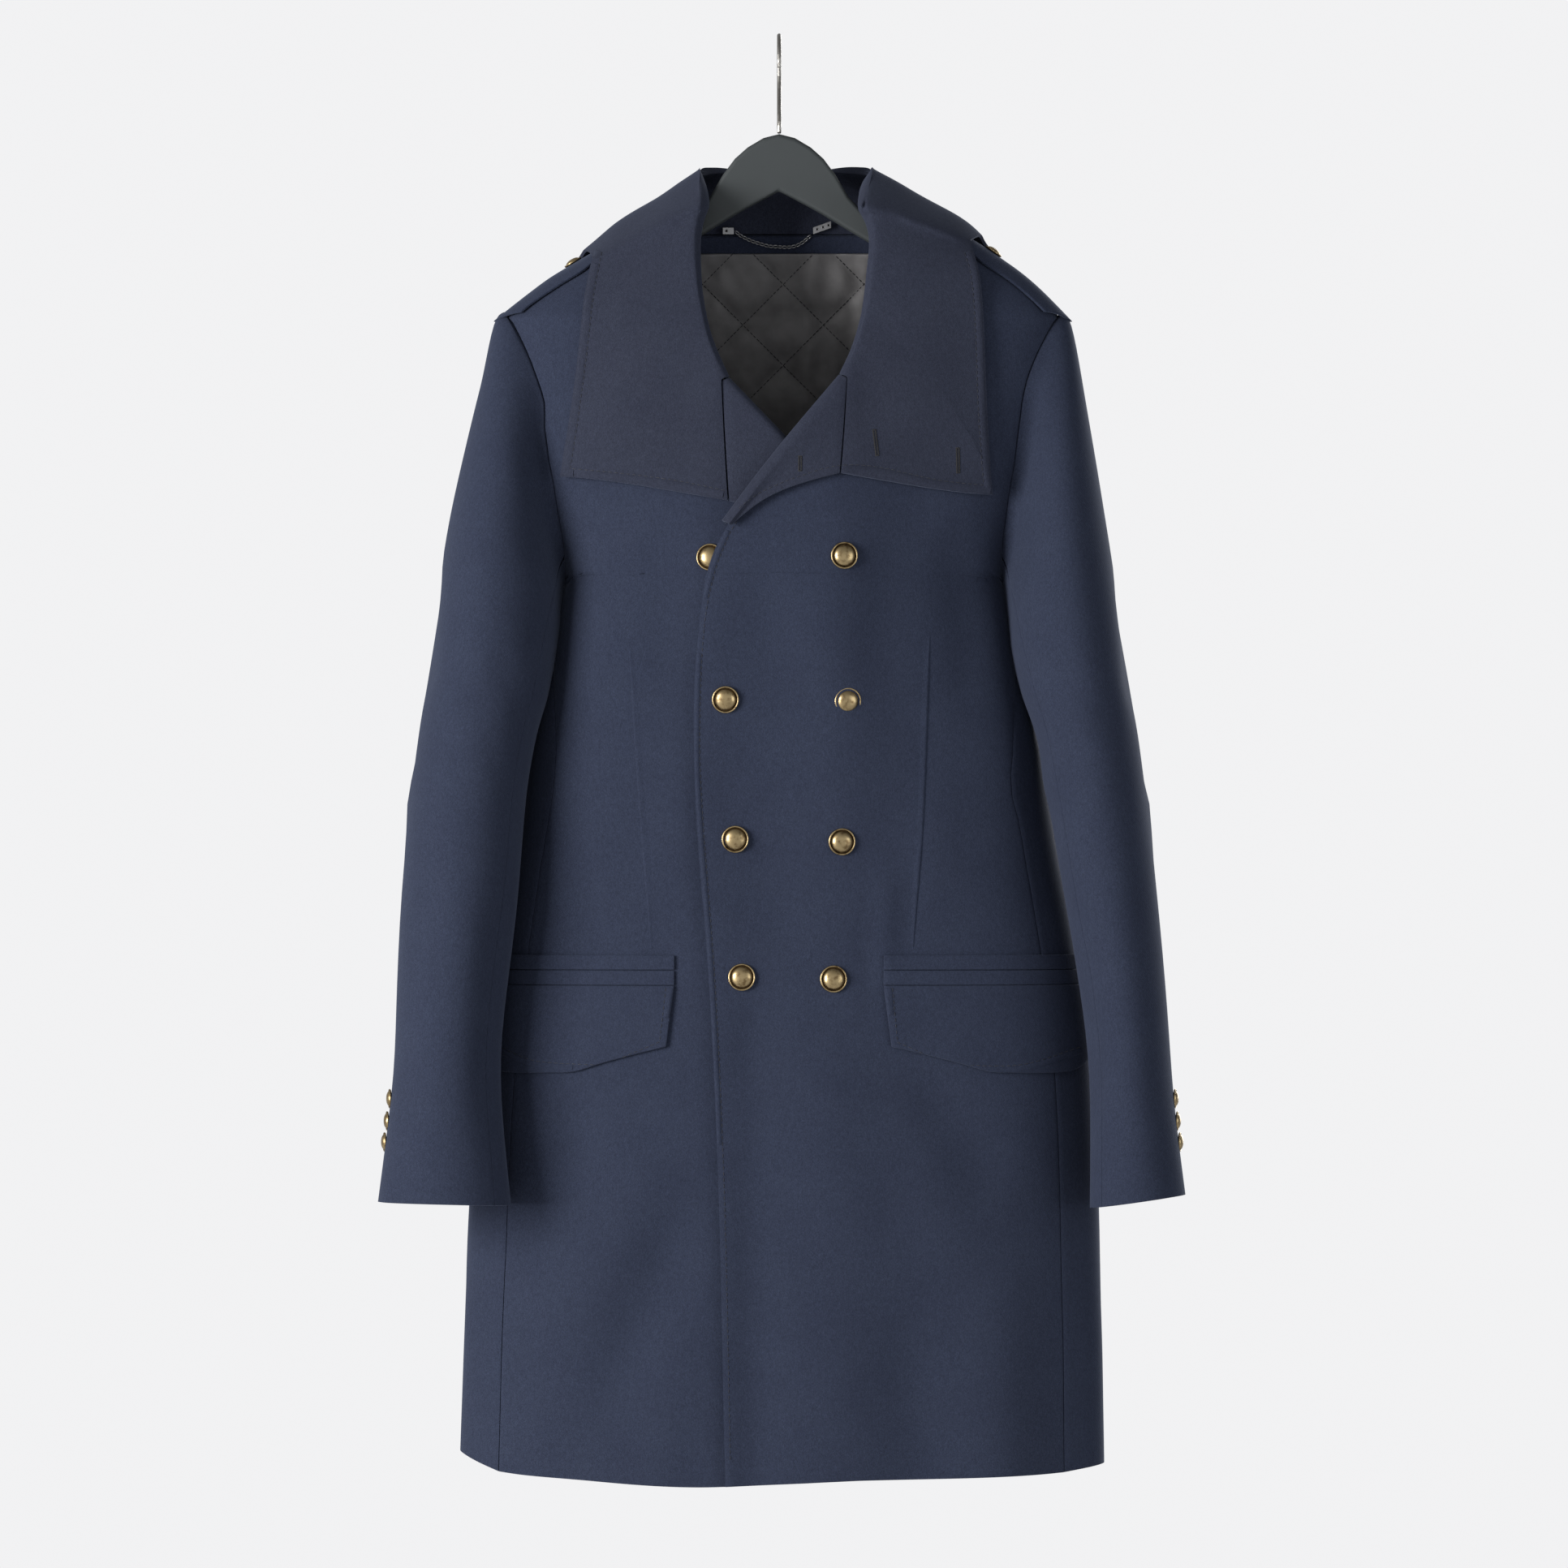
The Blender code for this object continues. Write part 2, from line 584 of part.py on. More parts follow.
def build_collar():
    collar_levels = [*SHOULDER_LEVELS[1:], *ARMHOLE_LEVELS[:4]]
    lapel_levels = [*ARMHOLE_LEVELS[3:7], LAPEL_END_Z]
    left = front_stations(1, collar_levels, COLLAR_LIFT)
    right = front_stations(-1, collar_levels, COLLAR_LIFT)
    leaf_wall("collar", shorten(left[::-1] + back_stations() + right, True, True))
    leaf_wall("lapel_left", shorten(front_stations(1, lapel_levels, COLLAR_LIFT)[::-1], False, True))
    leaf_wall("lapel_right", shorten(front_stations(-1, lapel_levels, UNDER_LAPEL_LIFT), True, False))


# Sleeves
SLEEVE_ROUND = 2 * ARMHOLE_STEPS
FORE_SEAM = 7
HIND_SEAM_TOP = 12


def armhole_loop(side):
    """The armhole seam's points and normals, from the shoulder down the front and up the back."""
    ring = []
    for k in range(SLEEVE_ROUND):
        level = k if k <= ARMHOLE_STEPS else SLEEVE_ROUND - k
        z = ARMHOLE_LEVELS[level]
        turn = armhole_turn(side, 1 if k <= ARMHOLE_STEPS else -1, z)
        seam = TORSO_FORM.point(turn, z)
        if k == 0:
            away = -UP
        elif k == ARMHOLE_STEPS:
            away = UP
        else:
            away = (TORSO_FORM.point(mix(turn, side * 90.0, 0.05), z) - seam).normalized()
        out = (away + Vector((side * 0.4, 0.0, 0.0))).normalized()
        ring.append((seam, TORSO_FORM.normal(turn, z), out))
    return ring


def sleeve_rings(side):
    """Outer points of every ring, from the armhole to the cuff."""
    arms = SLEEVE_RIGHT if side < 0 else SLEEVE_LEFT
    loop = armhole_loop(side)
    top, bottom = loop[0][0], loop[ARMHOLE_STEPS][0]
    seam_mid, seam_half = (top + bottom) / 2, (top - bottom) / 2
    rings = []
    rings.append([seam + out * ARMHOLE_GAP for seam, _, out in loop])
    for arm in arms:
        outer = Vector((arm.outer_x, arm.forward, arm.outer_z))
        inner = Vector((arm.inner_x, arm.forward, arm.inner_z))
        mid, half = (outer + inner) / 2, (outer - inner) / 2
        ring = []
        for k in range(SLEEVE_ROUND):
            angle = math.pi * 2 * k / SLEEVE_ROUND
            plain = half * math.cos(angle) + Vector((0.0, -arm.deep * math.sin(angle), 0.0))
            shape = loop[k][0] - seam_mid - seam_half * math.cos(angle)
            shape.y += 0.052 * math.sin(angle)
            ring.append(mid + plain + shape * arm.fitted)
        rings.append(ring)
    smooth = [rings[0]]
    for i in range(1, len(rings) - 1):
        smooth.append(rings[i])
        if 3 <= i <= 6:
            before, here, after = rings[i - 1], rings[i], rings[i + 1]
            beyond = rings[min(i + 2, len(rings) - 1)]
            smooth.append([(b * 9 + c * 9 - a - d) / 16 for a, b, c, d in zip(before, here, after, beyond)])
    smooth.append(rings[-1])
    return smooth, loop


def ring_inner(rings, loop, i, k):
    """The inner face of a sleeve, CLOTH inside its outer points; at the armhole it meets the body's wall."""
    if i == 0:
        return rings[0][k] - loop[k][1] * CLOTH
    around_ring = rings[i][(k + 1) % SLEEVE_ROUND] - rings[i][k - 1]
    down = rings[min(i + 1, len(rings) - 1)][k] - rings[i - 1][k]
    normal = around_ring.cross(down).normalized()
    centre = sum(rings[i], Vector()) / SLEEVE_ROUND
    if normal.dot(rings[i][k] - centre) < 0:
        normal = -normal
    if i == 1:
        normal = (normal + loop[k][1]).normalized()
    return rings[i][k] - normal * CLOTH


def build_sleeves():
    """Each sleeve is a top piece and an under piece; the hind seam turns outward towards the cuff."""
    for side, hand in ((-1, "right"), (1, "left")):
        rings, loop = sleeve_rings(side)
        pieces = {
            f"top_sleeve_{hand}": range(HIND_SEAM_TOP - SLEEVE_ROUND, FORE_SEAM + 1),
            f"under_sleeve_{hand}": range(FORE_SEAM, HIND_SEAM_TOP + 1),
        }
        for name, span in pieces.items():
            outer, inner = [], []
            for i in range(len(rings)):
                ks = [k % SLEEVE_ROUND for k in span]
                trims = (SLEEVE_HEAD_TRIM, SLEEVE_HEAD_TRIM) if i < 3 else (TRIM, TRIM)
                outer.append(pull_in([rings[i][k] for k in ks], trims))
                inner.append(pull_in([ring_inner(rings, loop, i, k) for k in ks], trims))
            wall(name, outer, inner, navy())


# Shoulder straps
STRAP_HALF = 0.026
STRAP_END_CURVE = 0.0110
STRAP_GAP = 1.3 * MM
STRAP_ENDS = ((-1, "right", 0.1300, 0.2022), (1, "left", 0.1330, 0.2078))
STRAP_TIP = {0.0: 0.72, 0.14: 0.9}
STRAP_STATIONS = [0.0, 0.14, 0.3, 0.46, 0.62, 0.78, 0.9, 1.0]
STRAP_ACROSS = [-1.0, -0.72, -0.4, 0.0, 0.4, 0.72, 1.0]


def build_straps():
    for side, hand, near, far in STRAP_ENDS:
        outer, inner = [], []
        for share in STRAP_STATIONS:
            half = STRAP_HALF * STRAP_TIP.get(share, 1.0)
            rows = ([], [])
            for across in STRAP_ACROSS:
                x, y = side * (mix(near, far, share) - STRAP_END_CURVE * across**2 * share**3), across * half
                z, turn = TORSO_FORM.top(x, y)
                p, n = TORSO_FORM.point(turn, z), TORSO_FORM.normal(turn, z)
                rows[0].append(p + n * (STRAP_GAP + STRAP_CLOTH))
                rows[1].append(p + n * STRAP_GAP)
            outer.append(rows[0])
            inner.append(rows[1])
        wall(f"shoulder_strap_{hand}", outer, inner, navy())


# Pockets
POCKET_NEAR = {-1: 0.0800, 1: 0.0794}
FLAP_BOTTOM = [Edge(0.0, -0.7735), Edge(0.12, -0.7803), Edge(0.24, -0.7872), Edge(0.35, -0.7930),
               Edge(0.55, -0.7938), Edge(0.75, -0.7930), Edge(0.90, -0.7870), Edge(1.0, -0.7800)]
FLAP_TOP_Z = -0.7270
JETTING_TOPS = {"upper": -0.7037, "lower": -0.7155}
JETTING_DEEP = 0.0110
FLAP_ROWS = 4
FLAP_SLANT = 0.0060
JETTING_TURN = 77.0
FLAP_TURN = 79.0
JETTING_CLOTH = 0.7 * CLOTH


def overlay(name, side, columns, tops, bottoms, rows, near, far_turn, gap, thick):
    """A piece laid on a front: made from the torso form's points, moved out."""
    outer, inner = [], []
    for i in range(rows + 1):
        rows_made = ([], [])
        for j in range(columns + 1):
            share = j / columns
            z = mix(tops(share), bottoms(share), i / rows)
            start = abs(TORSO_FORM.turn_at(side * near(i / rows), z))
            turn = side * mix(start, far_turn, share)
            p, n = TORSO_FORM.point(turn, z), TORSO_FORM.normal(turn, z)
            rise = gap + (lap_lift(p.x, z) if side > 0 else 0.0)
            rows_made[0].append(p + n * (rise + thick))
            rows_made[1].append(p + n * rise)
        outer.append(rows_made[0])
        inner.append(rows_made[1])
    wall(name, outer, inner, navy())


def build_pockets():
    for side, hand in ((-1, "right"), (1, "left")):
        near = POCKET_NEAR[side]
        for label, top in JETTING_TOPS.items():
            overlay(
                f"jetting_{label}_{hand}", side, 10, lambda _, t=top: t, lambda _, t=top: t - JETTING_DEEP,
                1, lambda _: near, JETTING_TURN, OVERLAY_GAP, JETTING_CLOTH,
            )
        overlay(
            f"pocket_flap_{hand}", side, 12, lambda _: FLAP_TOP_Z, spline(FLAP_BOTTOM, "z", "x"),
            FLAP_ROWS, lambda drop: near + FLAP_SLANT * drop, FLAP_TURN, OVERLAY_GAP, CLOTH,
        )


# Lining and back neck facing
QUILT_PITCH = 0.042
QUILT_RISE = 1.6 * MM


def quilt(x, z):
    """Diamond quilting: puffed between two families of slanting stitch lines."""
    first = math.sin(math.pi * (x + z) / QUILT_PITCH)
    second = math.sin(math.pi * (x - z) / QUILT_PITCH)
    return QUILT_RISE * math.sqrt(abs(first * second))


def inside_wall(name, levels, half_turn, columns, thick, rise, finish):
    """A piece inside the back, on the back's form moved in; its face to the neck takes the quilting."""
    outer, inner = [], []
    for z in levels:
        rows = ([], [])
        for j in range(columns + 1):
            turn = 180.0 + half_turn * (2 * j / columns - 1)
            level = z(turn) if callable(z) else z
            p, n = TORSO_FORM.point(turn, level), TORSO_FORM.normal(turn, level)
            depth = CLOTH + OVERLAY_GAP
            rows[0].append(p - n * depth)
            rows[1].append(p - n * (depth + thick + (rise(p.x, level) if rise else 0.0)))
        outer.append(rows[0])
        inner.append(rows[1])
    wall(name, outer, inner, finish)


def build_inside():
    facing_top = lambda turn: neck_level(turn) - 2 * TRIM
    facing_low = lambda turn: LINING_TOP_Z + TRIM
    middle = lambda turn: (facing_top(turn) + facing_low(turn)) / 2
    inside_wall("back_neck_facing", [facing_top, middle, facing_low], 52.0, 12, LINING_CLOTH, None, navy())
    rows = 14
    levels = [mix(LINING_TOP_Z - TRIM, LINING_END_Z, i / rows) for i in range(rows + 1)]
    lining = material("lining", (0.045, 0.045, 0.045), 0.55)
    inside_wall("lining", levels, 48.0, 14, LINING_CLOTH, quilt, lining)


# Buttons
ButtonRing = namedtuple("ButtonRing", "radius height")
BUTTON_PROFILE = [
    ButtonRing(0.62, 0.00), ButtonRing(0.97, 0.14), ButtonRing(1.00, 0.22), ButtonRing(0.90, 0.28),
    ButtonRing(0.80, 0.24), ButtonRing(0.42, 0.49),
]


def build_button(name, seat, normal, radius, sides):
    """A domed metal button, turned about the normal of the cloth it is sewn to."""
    bm = bmesh.new()
    turn = normal.to_track_quat("Z", "Y")
    rings = []
    for ring in BUTTON_PROFILE:
        angles = [2 * math.pi * k / sides for k in range(sides)]
        out, high = radius * ring.radius, radius * ring.height
        rings.append([
            bm.verts.new(seat + turn @ Vector((out * math.cos(a), out * math.sin(a), high)))
            for a in angles
        ])
    for low, high in zip(rings, rings[1:]):
        for k in range(sides):
            bm.faces.new((low[k], low[(k + 1) % sides], high[(k + 1) % sides], high[k]))
    bm.faces.new(rings[0])
    bm.faces.new(rings[-1])
    add_object(name, bm, brass())


ButtonPlace = namedtuple("ButtonPlace", "x z")
FRONT_BUTTONS = [
    ButtonPlace(0.0496, -0.3987), ButtonPlace(0.0521, -0.5096), ButtonPlace(0.0477, -0.6169),
    ButtonPlace(0.0415, -0.7217), ButtonPlace(-0.0527, -0.3999), ButtonPlace(-0.0409, -0.5084),
    ButtonPlace(-0.0335, -0.6150), ButtonPlace(-0.0285, -0.7204),
]
UNDER_BUTTON = 5
CUFF_BUTTON_Z = [-0.8130, -0.8300, -0.8460]
STRAP_BUTTON_X = {-1: 0.1560, 1: 0.1620}


def build_buttons():
    for number, place in enumerate(FRONT_BUTTONS, 1):
        cloth = "front_right" if number == UNDER_BUTTON else "front_left"
        seat, normal = seat_on(cloth, place.x, place.z)
        reach = FRONT_BUTTON_RADIUS * BUTTON_PROFILE[0].radius
        rise = 0.0
        for k in range(8):
            angle = math.pi * k / 4
            rim, _ = seat_on(cloth, place.x + reach * math.cos(angle), place.z + reach * math.sin(angle))
            rise = max(rise, (rim - seat).dot(normal))
        seat = seat + normal * (rise + 2 * TRIM)
        build_button(f"front_button_{number}", seat, normal, FRONT_BUTTON_RADIUS, 16)
    for side, hand in ((-1, "right"), (1, "left")):
        x = side * STRAP_BUTTON_X[side]
        z, turn = TORSO_FORM.top(x, 0.0)
        normal = TORSO_FORM.normal(turn, z)
        seat = TORSO_FORM.point(turn, z) + normal * (STRAP_GAP + STRAP_CLOTH + 2 * TRIM)
        build_button(f"strap_button_{hand}", seat, normal, SMALL_BUTTON_RADIUS, 10)
        rings, _ = sleeve_rings(side)
        for number, level in enumerate(CUFF_BUTTON_Z, 1):
            i = next(i for i in range(len(rings) - 1) if rings[i + 1][0].z <= level)
            share = (level - rings[i][0].z) / (rings[i + 1][0].z - rings[i][0].z)
            seat = rings[i][0].lerp(rings[i + 1][0], share)
            normal = Vector((side, -0.12, 0.0)).normalized()
            seat += normal * 5 * TRIM
            build_button(f"cuff_button_{hand}_{number}", seat, normal, SMALL_BUTTON_RADIUS, 10)


# Hanger, hook and chain
ARM_TOPS = [Edge(0.0, -0.0740), Edge(0.012, -0.0770), Edge(0.030, -0.0890), Edge(0.041, -0.1020),
            Edge(0.051, -0.1190), Edge(0.060, -0.1300), Edge(0.074, -0.1415), Edge(0.110, -0.1600)]
ARM_LOWS = [Edge(0.0, -0.1180), Edge(0.030, -0.1340), Edge(0.064, -0.1545), Edge(0.110, -0.1790)]
ARM_REST = 0.1650
ARM_END = 0.1900
ARM_END_DEEP = 0.016


def arm_outline(side):
    """One arm's top and lower edge; the end carries the shoulder from just below its cloth."""
    def rest(x):
        z, _ = TORSO_FORM.top(side * x, 0.0)
        return z - CLOTH * 1.45 - 8 * TRIM
    tops = [*ARM_TOPS, Edge(ARM_REST, rest(ARM_REST)), Edge(ARM_END, rest(ARM_END))]
    lows = [*ARM_LOWS, Edge(ARM_REST, rest(ARM_REST) - 1.4 * ARM_END_DEEP)]
    lows.append(Edge(ARM_END, rest(ARM_END) - ARM_END_DEEP))
    xs = [0.0, 0.012, 0.024, 0.034, 0.043, 0.053, 0.065, 0.078, 0.100, 0.130, 0.150, 0.165, 0.178, 0.190]
    top, low = spline(tops, "z", "x"), spline(lows, "z", "x")
    return [(side * x, top(x), low(x)) for x in xs]


def build_hanger():
    """A flat bar hanger: sections across its length, chamfered along both edges."""
    stations = arm_outline(-1)[:0:-1] + arm_outline(1)
    half = HANGER_THICK / 2
    bevel = 2.0 * MM
    bm = bmesh.new()
    rings = []
    for x, top, low in stations:
        corners = [(-half + bevel, top), (half - bevel, top), (half, top - bevel), (half, low + bevel),
                   (half - bevel, low), (-half + bevel, low), (-half, low + bevel), (-half, top - bevel)]
        rings.append([bm.verts.new((x, y, z)) for y, z in corners])
    for a, b in zip(rings, rings[1:]):
        for k in range(8):
            bm.faces.new((a[k], a[(k + 1) % 8], b[(k + 1) % 8], b[k]))
    bm.faces.new(rings[0])
    bm.faces.new(rings[-1])
    add_object("hanger", bm, material("hanger plastic", (0.065, 0.078, 0.080), 0.55))


def wire(name, path, radius, sides, finish):
    """A round wire along a path in the plane of the hook."""
    bm = bmesh.new()
    across = Vector((1.0, 0.0, 0.0))
    rings = []
    for i, place in enumerate(path):
        along = (path[min(i + 1, len(path) - 1)] - path[max(i - 1, 0)]).normalized()
        above = along.cross(across)
        ring = []
        for k in range(sides):
            angle = 2 * math.pi * k / sides
            ring.append(bm.verts.new(place + (across * math.cos(angle) + above * math.sin(angle)) * radius))
        rings.append(ring)
    for a, b in zip(rings, rings[1:]):
        for k in range(sides):
            bm.faces.new((a[k], a[(k + 1) % sides], b[(k + 1) % sides], b[k]))
    bm.faces.new(rings[0])
    bm.faces.new(rings[-1])
    add_object(name, bm, finish)


def build_hook():
    """The crook, open towards the front, with its inside top at the origin."""
    reach = HOOK_RADIUS + WIRE_RADIUS
    centre_z = -HOOK_RADIUS
    path = []
    for k in range(19):
        angle = math.radians(mix(-14.0, 180.0, k / 18))
        path.append(Vector((0.0, -reach * math.cos(angle), centre_z + reach * math.sin(angle))))
    path += [
        Vector((0.0, 0.0200, -0.0290)), Vector((0.0, 0.0165, -0.0390)), Vector((0.0, 0.0098, -0.0480)),
        Vector((0.0, 0.0036, -0.0560)), Vector((0.0, 0.0, -0.0640)), Vector((0.0, 0.0, -0.0737)),
    ]
    wire("hook", path, WIRE_RADIUS, 8, material("hook steel", (0.45, 0.46, 0.48), 0.35, 1.0))


CHAIN = [Edge(-0.0350, -0.1470), Edge(-0.0310, -0.1500), Edge(-0.0190, -0.1555), Edge(-0.0050, -0.1590),
         Edge(0.0080, -0.1595), Edge(0.0180, -0.1560), Edge(0.0255, -0.1495)]
CHAIN_HALF = 1.5 * MM
PLATES = {"right": (-0.0435, -0.0350, -0.1470, -0.1470), "left": (0.0262, 0.0400, -0.1470, -0.1420)}
PLATE_HIGH = 5.5 * MM
PLATE_THICK = 1.2 * MM


def inside_back(x, z, inward):
    """A point off the inner face of the back or of the collar stand above it."""
    level = min(z, NECK_BACK_Z)
    ratio = abs(x) / TORSO_FORM.sizes(x, 1, level)[0]
    depth = TORSO_FORM.back(level) * (1 - ratio**RING_POWER) ** (1 / RING_POWER)
    return Vector((x, depth - inward, z))


def build_chain():
    """The hanging chain, a two-lobed strand twisted along its sag, between two plates."""
    steel = material("chain steel", (0.55, 0.55, 0.56), 0.3, 1.0)
    sag = spline(CHAIN, "z", "x")
    steps = 28
    bm = bmesh.new()
    rings = []
    for i in range(steps + 1):
        x = mix(CHAIN[0].z + 4 * TRIM, CHAIN[-1].z - 4 * TRIM, i / steps)
        centre = inside_back(x, sag(x), CLOTH + OVERLAY_GAP + LINING_CLOTH + 3.2 * MM)
        ahead = inside_back(x + MM, sag(x + MM), CLOTH + OVERLAY_GAP + LINING_CLOTH + 3.2 * MM)
        along = (ahead - centre).normalized()
        side = along.cross(UP).normalized()
        above = side.cross(along)
        twist = i * math.pi / 3
        ring = []
        for k in range(6):
            angle = 2 * math.pi * k / 6
            reach = CHAIN_HALF * (0.78 + 0.22 * math.cos(2 * (angle - twist)))
            ring.append(bm.verts.new(centre + (side * math.cos(angle) + above * math.sin(angle)) * reach))
        rings.append(ring)
    for a, b in zip(rings, rings[1:]):
        for k in range(6):
            bm.faces.new((a[k], a[(k + 1) % 6], b[(k + 1) % 6], b[k]))
    bm.faces.new(rings[0])
    bm.faces.new(rings[-1])
    add_object("hanger_chain", bm, steel)
    for hand, (start, end, z_start, z_end) in PLATES.items():
        outer, inner = [], []
        for rise in (-0.5, 0.5):
            rows = ([], [])
            for share in (0.0, 0.5, 1.0):
                x, z = mix(start, end, share), mix(z_start, z_end, share) + rise * PLATE_HIGH
                back = CLOTH * 2 + OVERLAY_GAP + 1.4 * MM
                rows[0].append(inside_back(x, z, back))
                rows[1].append(inside_back(x, z, back + PLATE_THICK))
            outer.append(rows[0])
            inner.append(rows[1])
        wall(f"chain_plate_{hand}", outer, inner, steel)


def main():
    for old in list(bpy.data.objects):
        bpy.data.objects.remove(old, do_unlink=True)
    build_fronts()
    build_sides()
    build_back()
    build_collar()
    build_sleeves()
    build_straps()
    build_pockets()
    build_inside()
    build_buttons()
    build_hanger()
    build_hook()
    build_chain()


if __name__ == "__main__":
    main()
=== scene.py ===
"""Looks of the greatcoat on its hanger: dressed cloth, sewing, brass, chain, plastic and steel."""
import logging
import math
from dataclasses import dataclass, field
from enum import Enum

import bmesh
import bpy
import numpy as np
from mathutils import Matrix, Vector
from mathutils.bvhtree import BVHTree


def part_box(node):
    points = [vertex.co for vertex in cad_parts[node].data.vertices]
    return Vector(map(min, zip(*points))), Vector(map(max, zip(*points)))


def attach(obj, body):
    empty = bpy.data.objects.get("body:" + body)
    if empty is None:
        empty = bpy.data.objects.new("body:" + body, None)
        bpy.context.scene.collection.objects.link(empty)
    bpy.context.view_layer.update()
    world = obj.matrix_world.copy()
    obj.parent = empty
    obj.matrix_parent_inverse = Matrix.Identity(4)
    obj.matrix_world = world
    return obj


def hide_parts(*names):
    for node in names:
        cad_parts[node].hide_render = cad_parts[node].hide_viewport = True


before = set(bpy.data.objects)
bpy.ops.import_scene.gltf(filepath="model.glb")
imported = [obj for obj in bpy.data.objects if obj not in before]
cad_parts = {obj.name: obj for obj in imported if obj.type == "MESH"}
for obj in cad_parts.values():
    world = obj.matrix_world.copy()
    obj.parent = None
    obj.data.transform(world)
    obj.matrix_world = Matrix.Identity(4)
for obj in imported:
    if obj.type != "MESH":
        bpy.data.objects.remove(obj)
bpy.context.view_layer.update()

LOG = logging.getLogger("greatcoat")
MM = 0.001
BODY = "root"
Flat = tuple[float, float]
Triple = tuple[float, float, float]
Colour = Triple


class Facing(Enum):
    """The side from which a point given by two numbers is dropped on the cloth."""

    FRONT = ("x", -1.0)
    BACK = ("x", 1.0)
    RIGHT_SIDE = ("y", -1.0)
    LEFT_SIDE = ("y", 1.0)

    def drop(self, cloth: BVHTree, u: float, v: float) -> tuple[Vector, Vector] | None:
        """Drops a point on the cloth from a metre off.

        Args:
            cloth: the cloth.
            u: x for the front and the back, y for a side, in metres.
            v: z in metres.

        Returns:
            The place where it lands and the cloth's outward normal there, or None where it misses.
        """
        axis, sign = self.value
        if axis == "x":
            origin, ray = Vector((u, sign, v)), Vector((0.0, -sign, 0.0))
        else:
            origin, ray = Vector((sign, u, v)), Vector((-sign, 0.0, 0.0))
        hit, normal, _, _ = cloth.ray_cast(origin, ray)
        if hit is None:
            return None
        return hit, -normal if normal.dot(ray) > 0.0 else normal


# Shader helpers

RIBS_PER_PITCH = 0.314  # the wave texture's scale at which ribs stand a metre apart


def shades(colour: Colour, share: float) -> Colour:
    """Gives a colour darkened or brightened by a share."""
    return tuple(share * c for c in colour)


